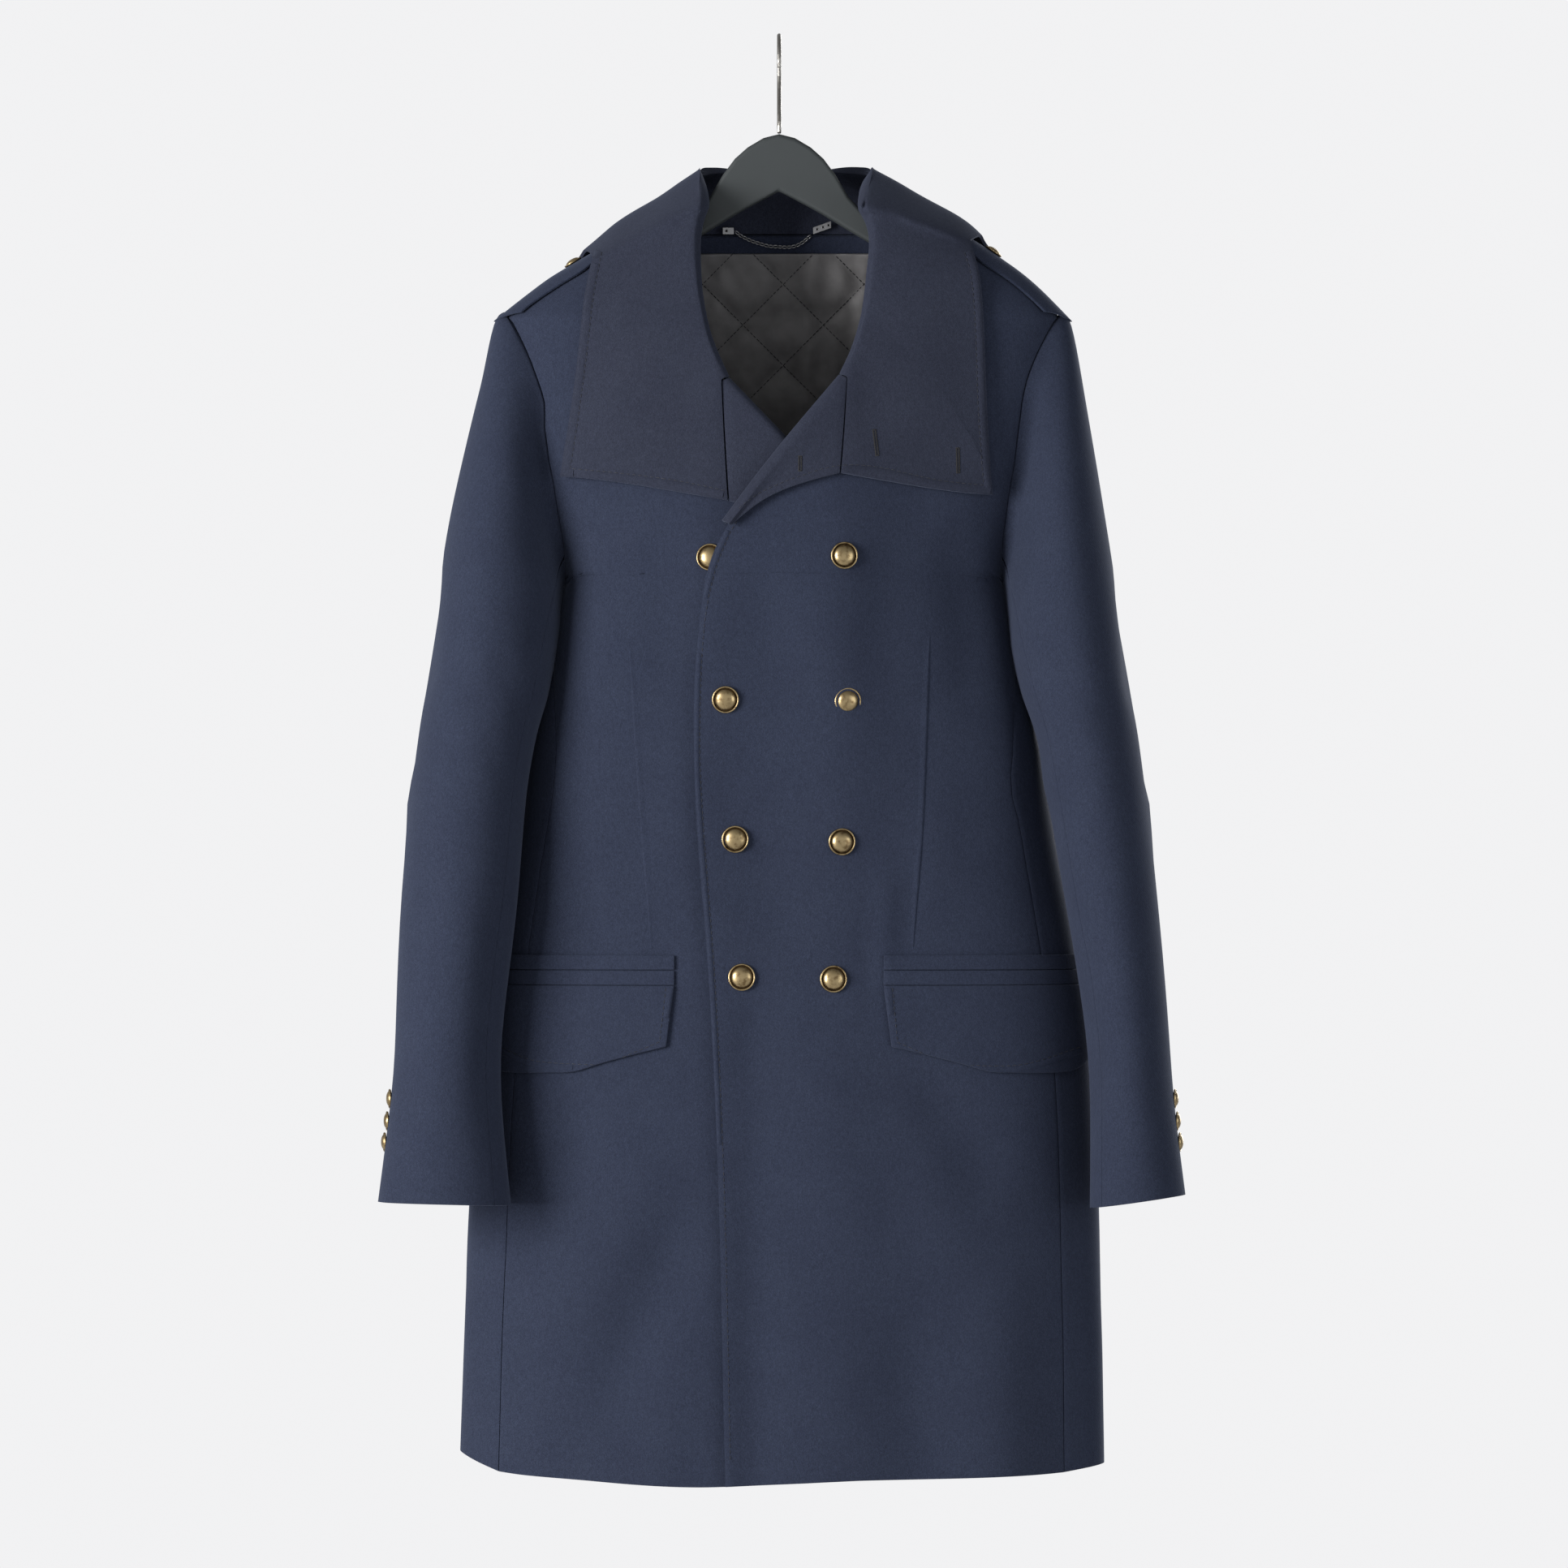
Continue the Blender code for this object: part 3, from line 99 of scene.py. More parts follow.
class Shader:
    """A material under construction: its node tree and its Principled node."""

    def __init__(self, name: str, colour: Colour, roughness: float, metallic: float = 0.0) -> None:
        """Starts the material with its uniform values.

        Args:
            name: its name.
            colour: its linear base colour.
            roughness: its roughness.
            metallic: 1 for a metal.
        """
        self.material = bpy.data.materials.new(name)
        self.material.use_nodes = True
        self.tree = self.material.node_tree
        self.bsdf = self.tree.nodes["Principled BSDF"]
        self.bsdf.inputs["Base Color"].default_value = (*colour, 1.0)
        self.bsdf.inputs["Roughness"].default_value = roughness
        self.bsdf.inputs["Metallic"].default_value = metallic
        self.material.diffuse_color = (*colour, 1.0)
        self.place = self.tree.nodes.new("ShaderNodeTexCoord").outputs["Object"]

    def put(self, **values: object) -> "Shader":
        """Sets uniform values on the Principled node's own sockets.

        Args:
            **values: socket names with underscores for spaces, and their values.

        Returns:
            The shader itself.
        """
        for name, value in values.items():
            self.bsdf.inputs[name.replace("_", " ")].default_value = value
        return self

    def noise(self, scale: float, detail: float = 2.0, stretch: Triple = (1.0, 1.0, 1.0)) -> bpy.types.NodeSocket:
        """Adds a noise texture in the object's own space.

        Args:
            scale: features per metre, roughly.
            detail: octaves.
            stretch: scale of each axis.

        Returns:
            The noise's value socket.
        """
        mapping = self.tree.nodes.new("ShaderNodeMapping")
        mapping.inputs["Scale"].default_value = stretch
        self.tree.links.new(self.place, mapping.inputs["Vector"])
        node = self.tree.nodes.new("ShaderNodeTexNoise")
        node.inputs["Scale"].default_value = scale
        node.inputs["Detail"].default_value = detail
        self.tree.links.new(mapping.outputs["Vector"], node.inputs["Vector"])
        return node.outputs["Fac"]

    def ribs(self, pitch: float, turn: Triple, distortion: float = 0.6) -> bpy.types.NodeSocket:
        """Adds fine parallel ribs, as of a twill.

        Args:
            pitch: distance between ribs in metres.
            turn: rotation of the ribs' space in radians.
            distortion: how much the ribs wander.

        Returns:
            The ribs' value socket.
        """
        mapping = self.tree.nodes.new("ShaderNodeMapping")
        mapping.inputs["Rotation"].default_value = turn
        self.tree.links.new(self.place, mapping.inputs["Vector"])
        node = self.tree.nodes.new("ShaderNodeTexWave")
        node.bands_direction = "X"
        node.inputs["Scale"].default_value = RIBS_PER_PITCH / pitch
        node.inputs["Distortion"].default_value = distortion
        node.inputs["Detail"].default_value = 1.0
        node.inputs["Detail Scale"].default_value = 2.0
        self.tree.links.new(mapping.outputs["Vector"], node.inputs["Vector"])
        return node.outputs["Fac"]

    def tint(self, value: bpy.types.NodeSocket, stops: list[tuple[float, Colour]],
             over: bpy.types.NodeSocket | None = None) -> bpy.types.NodeSocket:
        """Turns a value into colours and links them to the base colour.

        Args:
            value: the socket that picks the colour.
            stops: places and linear colours of the ramp.
            over: a colour socket that this one multiplies, if any.

        Returns:
            The colour socket.
        """
        ramp = self.tree.nodes.new("ShaderNodeValToRGB")
        while len(ramp.color_ramp.elements) < len(stops):
            ramp.color_ramp.elements.new(0.5)
        for element, (at, colour) in zip(ramp.color_ramp.elements, stops):
            element.position = at
            element.color = (*colour, 1.0)
        self.tree.links.new(value, ramp.inputs["Fac"])
        out = ramp.outputs["Color"]
        if over is not None:
            mix = self.tree.nodes.new("ShaderNodeMix")
            mix.data_type = "RGBA"
            mix.blend_type = "MULTIPLY"
            mix.inputs["Factor"].default_value = 1.0
            self.tree.links.new(over, mix.inputs[6])
            self.tree.links.new(out, mix.inputs[7])
            out = mix.outputs[2]
        self.tree.links.new(out, self.bsdf.inputs["Base Color"])
        return out

    def rough(self, value: bpy.types.NodeSocket, low: float, high: float) -> None:
        """Links a varying roughness.

        Args:
            value: the socket that drives it, 0 to 1.
            low: the roughness at 0.
            high: the roughness at 1.
        """
        span = self.tree.nodes.new("ShaderNodeMapRange")
        span.inputs["To Min"].default_value = low
        span.inputs["To Max"].default_value = high
        self.tree.links.new(value, span.inputs["Value"])
        self.tree.links.new(span.outputs["Result"], self.bsdf.inputs["Roughness"])

    def bump(self, layers: list[tuple[bpy.types.NodeSocket, float, float]]) -> None:
        """Chains bump nodes and links them to the normal.

        Args:
            layers: for each, its height socket, its strength and its depth in metres.
        """
        last = None
        for height, strength, depth in layers:
            node = self.tree.nodes.new("ShaderNodeBump")
            node.inputs["Strength"].default_value = strength
            node.inputs["Distance"].default_value = depth
            self.tree.links.new(height, node.inputs["Height"])
            if last is not None:
                self.tree.links.new(last, node.inputs["Normal"])
            last = node.outputs["Normal"]
        self.tree.links.new(last, self.bsdf.inputs["Normal"])


@dataclass(frozen=True)
class Wool:
    """Brushed navy wool: a soft nap over a fine twill, with a pale bloom at grazing angles."""

    name: str = "wool_navy"
    colour: Colour = (0.0255, 0.0325, 0.0575)
    nap: float = 1.0

    def material(self) -> bpy.types.Material:
        """Builds the wool.

        Returns:
            The material.
        """
        s = Shader(self.name, self.colour, 0.92)
        s.put(Sheen_Weight=0.14, Sheen_Roughness=0.42, Sheen_Tint=(0.50, 0.60, 0.86, 1.0),
              Specular_IOR_Level=0.18)
        fleck = s.noise(1500.0, 3.0, (1.0, 1.0, 0.55))
        cloud = s.noise(26.0, 3.0)
        dark = shades(self.colour, 0.74)
        pale = shades(self.colour, 1.30)
        fluff = s.noise(420.0, 4.0, (1.0, 1.0, 0.6))
        base = s.tint(fleck, [(0.30, dark), (0.52, self.colour), (0.74, pale)])
        base = s.tint(fluff, [(0.34, (0.86, 0.86, 0.88)), (0.62, (1.0, 1.0, 1.0))], base)
        s.tint(cloud, [(0.30, (0.90, 0.90, 0.92)), (0.70, (1.0, 1.0, 1.0))], base)
        nap = s.noise(900.0, 4.0, (1.0, 1.0, 0.45))
        fuzz = s.noise(2600.0, 2.0)
        twill = s.ribs(1.3 * MM, (0.0, math.radians(38), 0.0), 1.4)
        s.bump([(twill, 0.22, 0.10 * MM), (nap, 0.55 * self.nap, 0.22 * MM), (fuzz, 0.40, 0.08 * MM)])
        return s.material


@dataclass(frozen=True)
class Lining:
    """Charcoal quilted lining: a fine, slightly glossy weave."""

    name: str = "lining_charcoal"
    colour: Colour = (0.158, 0.154, 0.157)

    def material(self) -> bpy.types.Material:
        """Builds the lining cloth.

        Returns:
            The material.
        """
        s = Shader(self.name, self.colour, 0.46)
        s.put(Sheen_Weight=0.10, Sheen_Roughness=0.35, Specular_IOR_Level=0.42)
        across = s.ribs(0.5 * MM, (0.0, 0.0, 0.0), 0.3)
        along = s.ribs(0.5 * MM, (0.0, math.radians(90), 0.0), 0.3)
        cloud = s.noise(60.0, 3.0)
        warm = shades(self.colour, 1.22)
        cool = shades(self.colour, 0.78)
        s.tint(cloud, [(0.28, cool), (0.72, warm)])
        s.rough(cloud, 0.38, 0.54)
        s.bump([(across, 0.20, 0.05 * MM), (along, 0.20, 0.05 * MM), (s.noise(140.0, 3.0), 0.35, 0.5 * MM)])
        return s.material


@dataclass(frozen=True)
class Thread:
    """Sewing thread with a fine twist."""

    name: str
    colour: Colour

    def material(self) -> bpy.types.Material:
        """Builds the thread.

        Returns:
            The material.
        """
        s = Shader(self.name, self.colour, 0.62)
        s.put(Sheen_Weight=0.15, Sheen_Roughness=0.4)
        twist = s.ribs(0.35 * MM, (0.3, 0.7, 0.2), 0.3)
        # painted shade: the twist's grooves are darkened where the bump sinks
        dark = shades(self.colour, 0.6)
        s.tint(twist, [(0.25, dark), (0.75, self.colour)])
        s.bump([(twist, 0.4, 0.06 * MM)])
        return s.material


@dataclass(frozen=True)
class Brass:
    """Antique brass with a brown patina in patches."""

    name: str = "brass_antique"
    colour: Colour = (0.40, 0.305, 0.165)
    patina: Colour = (0.19, 0.130, 0.064)
    low: float = 0.24
    high: float = 0.46

    def material(self) -> bpy.types.Material:
        """Builds the brass.

        Returns:
            The material.
        """
        s = Shader(self.name, self.colour, 0.34, 1.0)
        patch = s.noise(260.0, 5.0)
        s.tint(patch, [(0.32, self.patina), (0.50, self.colour), (0.78, shades(self.colour, 1.18))])
        s.rough(patch, self.high, self.low)
        s.bump([(s.noise(900.0, 4.0), 0.22, 0.08 * MM), (s.noise(2600.0, 2.0), 0.18, 0.03 * MM)])
        return s.material


@dataclass(frozen=True)
class MouldedPlastic:
    """Matte charcoal plastic with a fine moulded grain."""

    name: str = "plastic_charcoal"
    colour: Colour = (0.035, 0.041, 0.043)

    def material(self) -> bpy.types.Material:
        """Builds the plastic.

        Returns:
            The material.
        """
        s = Shader(self.name, self.colour, 0.58)
        s.put(Specular_IOR_Level=0.40)
        grain = s.noise(1300.0, 3.0)
        smear = s.noise(18.0, 4.0)
        s.tint(smear, [(0.30, shades(self.colour, 0.93)), (0.70, shades(self.colour, 1.06))])
        s.rough(smear, 0.50, 0.64)
        s.bump([(grain, 0.35, 0.06 * MM), (s.noise(300.0, 2.0), 0.12, 0.10 * MM)])
        return s.material


@dataclass(frozen=True)
class DrawnSteel:
    """Drawn steel wire or stamped steel, with fine scratches."""

    name: str
    colour: Colour
    low: float
    high: float

    def material(self) -> bpy.types.Material:
        """Builds the steel.

        Returns:
            The material.
        """
        s = Shader(self.name, self.colour, 0.5 * (self.low + self.high), 1.0)
        drawn = s.noise(420.0, 3.0, (1.0, 1.0, 0.12))
        s.tint(drawn, [(0.25, shades(self.colour, 0.82)), (0.75, self.colour)])
        s.rough(drawn, self.low, self.high)
        s.bump([(drawn, 0.15, 0.05 * MM)])
        return s.material


# Mesh helpers


def mesh_object(name: str, points: list | np.ndarray, faces: list[list[int]], materials: list[bpy.types.Material],
                slots: list[int] | None = None) -> bpy.types.Object:
    """Makes a mesh object, links it to the scene and reports it.

    Args:
        name: the object's name.
        points: its vertices, in metres.
        faces: its faces as lists of vertex numbers.
        materials: its materials.
        slots: the material number of each face, if there are several.

    Returns:
        The object, smooth shaded.
    """
    mesh = bpy.data.meshes.new(name)
    mesh.from_pydata([tuple(p) for p in np.asarray(points, dtype=float)], [], faces)
    for material in materials:
        mesh.materials.append(material)
    if slots is not None:
        mesh.polygons.foreach_set("material_index", slots)
    mesh.shade_smooth()
    obj = bpy.data.objects.new(name, mesh)
    bpy.context.scene.collection.objects.link(obj)
    LOG.info("%s: %d faces", name, len(faces))
    return obj


def spokes(side: Vector, up: Vector, count: int) -> list[Vector]:
    """Gives evenly turned directions in the plane of two unit vectors."""
    turns = [2 * math.pi * k / count for k in range(count)]
    return [side * math.cos(a) + up * math.sin(a) for a in turns]


def ring_faces(first: int, rings: int, around: int) -> list[list[int]]:
    """Joins closed rings of points that follow one another.

    Args:
        first: the number of the first ring's first point.
        rings: how many rings there are.
        around: how many points each ring has.

    Returns:
        The faces, ring by ring.
    """
    faces = []
    for ring in range(rings - 1):
        for k in range(around):
            a, b = first + ring * around + k, first + ring * around + (k + 1) % around
            faces.append([a, b, b + around, a + around])
    return faces


def strip_faces(first: int, rows: int, across: int) -> list[list[int]]:
    """Joins open rows of points that follow one another.

    Args:
        first: the number of the first row's first point.
        rows: how many rows there are.
        across: how many points each row has.

    Returns:
        The faces, row by row.
    """
    return [[a, a + 1, a + across + 1, a + across]
            for row in range(rows - 1) for a in range(first + row * across, first + (row + 1) * across - 1)]


def tree_of(*objects: bpy.types.Object) -> BVHTree:
    """Makes one search tree of several objects that sit at the origin.

    Args:
        *objects: mesh objects.

    Returns:
        The tree.
    """
    points, faces = [], []
    for obj in objects:
        first = len(points)
        points.extend(obj.matrix_world @ v.co for v in obj.data.vertices)
        faces.extend([first + i for i in p.vertices] for p in obj.data.polygons)
    return BVHTree.FromPolygons(points, faces)


def smooth_path(points: list[Flat], step: float) -> np.ndarray:
    """Runs a smooth curve through points and samples it evenly.

    Args:
        points: the points of the curve.
        step: the distance between samples in metres.

    Returns:
        The samples, one a row.
    """
    p = np.asarray(points, dtype=float)
    if len(p) > 2:
        ends = np.vstack([2 * p[0] - p[1], p, 2 * p[-1] - p[-2]])
        fine = []
        for i in range(1, len(ends) - 2):
            a, b, c, d = ends[i - 1:i + 3]
            for t in np.linspace(0.0, 1.0, 16, endpoint=False):
                fine.append(0.5 * (2 * b + (c - a) * t + (2 * a - 5 * b + 4 * c - d) * t ** 2
                                   + (3 * b - a - 3 * c + d) * t ** 3))
        p = np.vstack([fine, p[-1]])
    run = distances(p)
    at = np.linspace(0.0, run[-1], max(2, int(round(run[-1] / step)) + 1))
    return np.column_stack([np.interp(at, run, p[:, k]) for k in range(p.shape[1])])


def left_of(path: np.ndarray) -> np.ndarray:
    """Gives the unit vectors to the left of a flat path, one for each of its points."""
    along = np.gradient(path, axis=0)
    along /= np.linalg.norm(along, axis=1, keepdims=True)
    return np.column_stack([-along[:, 1], along[:, 0]])


def distances(path: np.ndarray) -> np.ndarray:
    """Gives the distance along a path to each of its points."""
    return np.concatenate([[0.0], np.cumsum(np.linalg.norm(np.diff(path, axis=0), axis=1))])


def inset_path(legs: list[list[Flat]], distance: float, step: float = 1.0 * MM) -> np.ndarray:
    """Moves an edge made of smooth legs sideways, and trims it at the corners.

    Args:
        legs: the edge's legs, each a list of points that starts where the last one ends.
        distance: how far to move, positive to the left of the direction of travel.
        step: sampling distance in metres.

    Returns:
        The moved edge's points.
    """
    paths = [smooth_path(leg, step) for leg in legs]
    edge = np.vstack(paths)
    moved = np.vstack([path + distance * left_of(path) for path in paths])
    near = np.array([np.linalg.norm(edge - m, axis=1).min() for m in moved])
    slack = 0.25 * MM
    return moved[near > abs(distance) - slack]


# Drape


@dataclass(frozen=True)
class Crease:
    """One soft ridge, or trough where the height is negative, from one point to another."""

    facing: Facing
    start: Flat
    end: Flat
    width: float
    height: float


def creases(facing: Facing, rows: tuple[tuple[float, ...], ...]) -> list[Crease]:
    """Makes creases from rows of two points in metres, then a width and a height in millimetres."""
    return [Crease(facing, (a, b), (c, d), wide * MM, high * MM) for a, b, c, d, wide, high in rows]


@dataclass
class Drape:
    """The soft folds of the hung coat, as one smooth movement that every piece shares.

    A row of the sway holds turns across and down, in radians a metre, a phase and a height in millimetres.
    """

    creases: list[Crease]
    cloth: BVHTree
    samples: int = 10
    depth: float = 1.5
    reach: float = 3.2
    run_out: float = 0.28
    sway: tuple = ((31.0, 17.0, 0.4, 0.30), (19.0, 43.0, 1.9, 0.26), (57.0, 29.0, 3.1, 0.16), (83.0, 71.0, 5.2, 0.10))
    sway_y: float = 11.0
    sideways: float = 0.4

    def __post_init__(self) -> None:
        """Drops each crease on the cloth; where it misses, the last place is carried on down."""
        self.lines = []
        for crease in self.creases:
            points, normals = [], []
            for t in np.linspace(0.0, 1.0, self.samples):
                u = crease.start[0] + t * (crease.end[0] - crease.start[0])
                v = crease.start[1] + t * (crease.end[1] - crease.start[1])
                landed = crease.facing.drop(self.cloth, u, v)
                if landed is not None:
                    points.append(tuple(landed[0]))
                    normals.append(tuple(landed[1]))
                elif points:
                    points.append((*points[-1][:2], v))
                    normals.append(normals[-1])
            if len(points) > 2:
                self.lines.append((np.array(points), np.array(normals), crease))

    def move(self, points: np.ndarray) -> np.ndarray:
        """Moves points with the folds.

        Args:
            points: points in metres, one a row.

        Returns:
            The moved points.
        """
        moved = points.copy()
        for line, normals, crease in self.lines:
            reach = self.reach * crease.width
            inside = np.all((points > line.min(0) - reach) & (points < line.max(0) + reach), axis=1)
            if not inside.any():
                continue
            p = points[inside]
            best = np.full(len(p), 1e9)
            push = np.zeros_like(p)
            along = np.zeros(len(p))
            for k in range(len(line) - 1):
                a, b = line[k], line[k + 1]
                ab = b - a
                t = np.clip((p - a) @ ab / max(ab @ ab, 1e-12), 0.0, 1.0)
                gap = np.linalg.norm(p - a - t[:, None] * ab, axis=1)
                closer = gap < best
                best[closer] = gap[closer]
                push[closer] = (normals[k] + t[:, None] * (normals[k + 1] - normals[k]))[closer]
                along[closer] = ((k + t) / (len(line) - 1))[closer]
            ends = np.clip(np.minimum(along, 1.0 - along) / self.run_out, 0.0, 1.0)
            fade = ends * ends * (3.0 - 2.0 * ends)
            size = self.depth * crease.height * fade * np.exp(-0.5 * (best / crease.width) ** 2)
            moved[inside] += push * size[:, None]
        x, y, z = points.T
        for across, down, phase, high in self.sway:
            wave = high * MM * np.sin(across * x + self.sway_y * y + phase) * np.sin(down * z + 2.0 * phase)
            moved[:, 1] += wave
            moved[:, 0] += self.sideways * wave
        return moved


# Folds read from the photograph on the front, and like ones at the back and sides, which it does not show
CREASES = creases(Facing.FRONT, (
    (-0.066, -0.885, -0.140, -1.060, 16, -3.4),
    (-0.080, -0.840, -0.178, -1.010, 22, 2.8),
    (-0.072, -0.960, -0.104, -1.250, 18, 2.4),
    (-0.150, -0.800, -0.196, -0.960, 16, -2.2),
    (-0.160, -1.000, -0.168, -1.260, 22, -1.8),
    (-0.022, -0.790, -0.016, -1.270, 12, -2.4),
    (0.018, -0.760, 0.062, -0.960, 26, 2.6),
    (0.030, -0.920, 0.046, -1.270, 30, 2.0),
    (-0.004, -0.730, -0.034, -0.810, 12, -2.0),
    (0.100, -0.790, 0.175, -0.885, 15, -2.2),
    (0.086, -0.800, 0.140, -0.960, 22, 2.2),
    (0.100, -0.930, 0.112, -1.270, 20, -2.0),
    (0.170, -0.900, 0.182, -1.270, 22, 2.0),
    (0.086, -0.640, 0.073, -0.722, 7, 1.5),
    (0.076, -0.668, 0.061, -0.742, 6, -1.4),
    (0.108, -0.640, 0.084, -0.706, 7, -1.0),
    (-0.098, -0.650, -0.080, -0.716, 8, -1.0),
    (0.030, -0.420, 0.052, -0.640, 26, 2.2),
    (-0.014, -0.390, 0.004, -0.530, 17, -2.0),
    (0.080, -0.370, 0.074, -0.520, 18, -1.8),
    (-0.014, -0.590, 0.006, -0.710, 15, -1.6),
    (-0.138, -0.350, -0.146, -0.710, 28, 2.6),
    (-0.084, -0.360, -0.090, -0.520, 16, -2.2),
    (-0.074, -0.540, -0.086, -0.700, 16, 1.4),
    (0.160, -0.360, 0.186, -0.640, 20, 2.2),
    (0.130, -0.360, 0.150, -0.520, 14, -1.8),
    (0.120, -0.560, 0.116, -0.690, 18, 1.4),
    (-0.183, -0.255, -0.173, -0.345, 9, -1.5),
    (0.192, -0.262, 0.182, -0.350, 9, -1.5),
    (-0.196, -0.478, -0.250, -0.516, 13, -1.9),
    (-0.204, -0.548, -0.256, -0.566, 13, -1.5),
    (-0.238, -0.620, -0.262, -0.870, 20, 1.6),
    (-0.216, -0.640, -0.224, -0.860, 12, -1.4),
    (0.203, -0.486, 0.262, -0.530, 13, -1.9),
    (0.214, -0.566, 0.272, -0.590, 13, -1.5),
    (0.252, -0.640, 0.276, -0.870, 20, 1.6),
    (0.232, -0.660, 0.244, -0.860, 12, -1.5),
    (-0.106, -0.180, -0.122, -0.330, 22, 1.4),
    (0.104, -0.190, 0.112, -0.330, 22, 1.4),
    (0.052, -0.230, 0.078, -0.320, 14, -1.2),
)) + creases(Facing.BACK, (
    (-0.050, -0.290, -0.034, -0.640, 26, 2.2),
    (0.046, -0.270, 0.062, -0.610, 24, 2.0),
    (0.002, -0.240, 0.006, -0.720, 20, -2.0),
    (-0.150, -0.370, -0.092, -0.520, 14, -2.2),
    (0.156, -0.360, 0.100, -0.500, 14, -2.4),
    (-0.110, -0.230, -0.100, -0.370, 34, 2.0),
    (0.116, -0.230, 0.108, -0.360, 34, 2.2),
    (-0.100, -0.730, -0.126, -1.270, 26, 3.0),
    (-0.044, -0.760, -0.052, -1.270, 20, -2.8),
    (0.028, -0.740, 0.040, -1.270, 28, 3.0),
    (0.108, -0.750, 0.130, -1.270, 22, -3.0),
    (0.170, -0.700, 0.186, -1.270, 22, 2.6),
    (-0.168, -0.700, -0.182, -1.270, 20, -2.4),
    (-0.120, -0.560, -0.060, -0.680, 15, -1.6),
    (0.126, -0.540, 0.070, -0.650, 15, -1.5),
    (-0.198, -0.500, -0.254, -0.534, 12, -2.2),
    (-0.204, -0.568, -0.264, -0.588, 12, -2.4),
    (-0.214, -0.640, -0.268, -0.652, 12, -1.7),
    (0.206, -0.512, 0.262, -0.546, 12, -2.3),
    (0.214, -0.580, 0.274, -0.604, 12, -2.3),
    (0.224, -0.652, 0.280, -0.668, 12, -1.6),
)) + creases(Facing.RIGHT_SIDE, (
    (-0.020, -0.400, -0.080, -0.520, 16, -1.8),
    (-0.060, -0.560, -0.020, -0.640, 14, 1.8),
    (0.012, -0.920, 0.020, -1.270, 18, -2.4),
    (-0.046, -0.920, -0.050, -1.270, 18, 2.0),
)) + creases(Facing.LEFT_SIDE, (
    (-0.020, -0.410, -0.080, -0.530, 16, -1.8),
    (-0.060, -0.570, -0.020, -0.650, 14, 1.8),
    (0.020, -0.920, 0.030, -1.270, 18, -2.4),
    (-0.040, -0.920, -0.044, -1.270, 18, 2.0),
))


# Cloth


@dataclass(frozen=True)
class Cut:
    """One cut piece of cloth: its node, the flat size that it was cut to, and what holds it."""

    node: str
    width: float
    length: float
    area: float
    rests_on: tuple[str, ...]
    warm: bool = False
    levels: int = 2
    edge: float = 0.7 * MM


CUTS = [
    Cut("back", 0.600, 0.990, 0.418, ("hanger",)),
    Cut("front_right", 0.335, 1.000, 0.232, ("hanger",)),
    Cut("front_left", 0.335, 1.000, 0.233, ("hanger",)),
    Cut("side_right", 0.135, 0.680, 0.066, ("front_right", "back")),
    Cut("side_left", 0.135, 0.680, 0.067, ("front_left", "back")),
    Cut("collar", 0.640, 0.260, 0.107, ("hanger",), True),
    Cut("lapel_right", 0.105, 0.128, 0.0069, ("front_right",), True),
    Cut("lapel_left", 0.105, 0.120, 0.0053, ("front_left",), True),
    Cut("top_sleeve_right", 0.290, 0.700, 0.146, ("hanger",)),
    Cut("top_sleeve_left", 0.290, 0.700, 0.134, ("hanger",)),
    Cut("under_sleeve_right", 0.125, 0.530, 0.046, ("top_sleeve_right",)),
    Cut("under_sleeve_left", 0.125, 0.530, 0.045, ("top_sleeve_left",)),
    Cut("shoulder_strap_right", 0.048, 0.128, 0.0055, ("front_right",)),
    Cut("shoulder_strap_left", 0.050, 0.132, 0.0061, ("front_left",)),
    Cut("jetting_upper_right", 0.013, 0.172, 0.0020, ("front_right",)),
    Cut("jetting_lower_right", 0.013, 0.172, 0.0020, ("front_right",)),
    Cut("jetting_upper_left", 0.013, 0.182, 0.0021, ("front_left",)),
    Cut("jetting_lower_left", 0.013, 0.182, 0.0021, ("front_left",)),
    Cut("pocket_flap_right", 0.068, 0.170, 0.0105, ("front_right",)),
    Cut("pocket_flap_left", 0.068, 0.180, 0.0112, ("front_left",)),
    Cut("back_neck_facing", 0.020, 0.245, 0.0036, ("back",)),
]
LINING_CUT = Cut("lining", 0.340, 0.250, 0.074, ("back",), False, 3, 0.4 * MM)


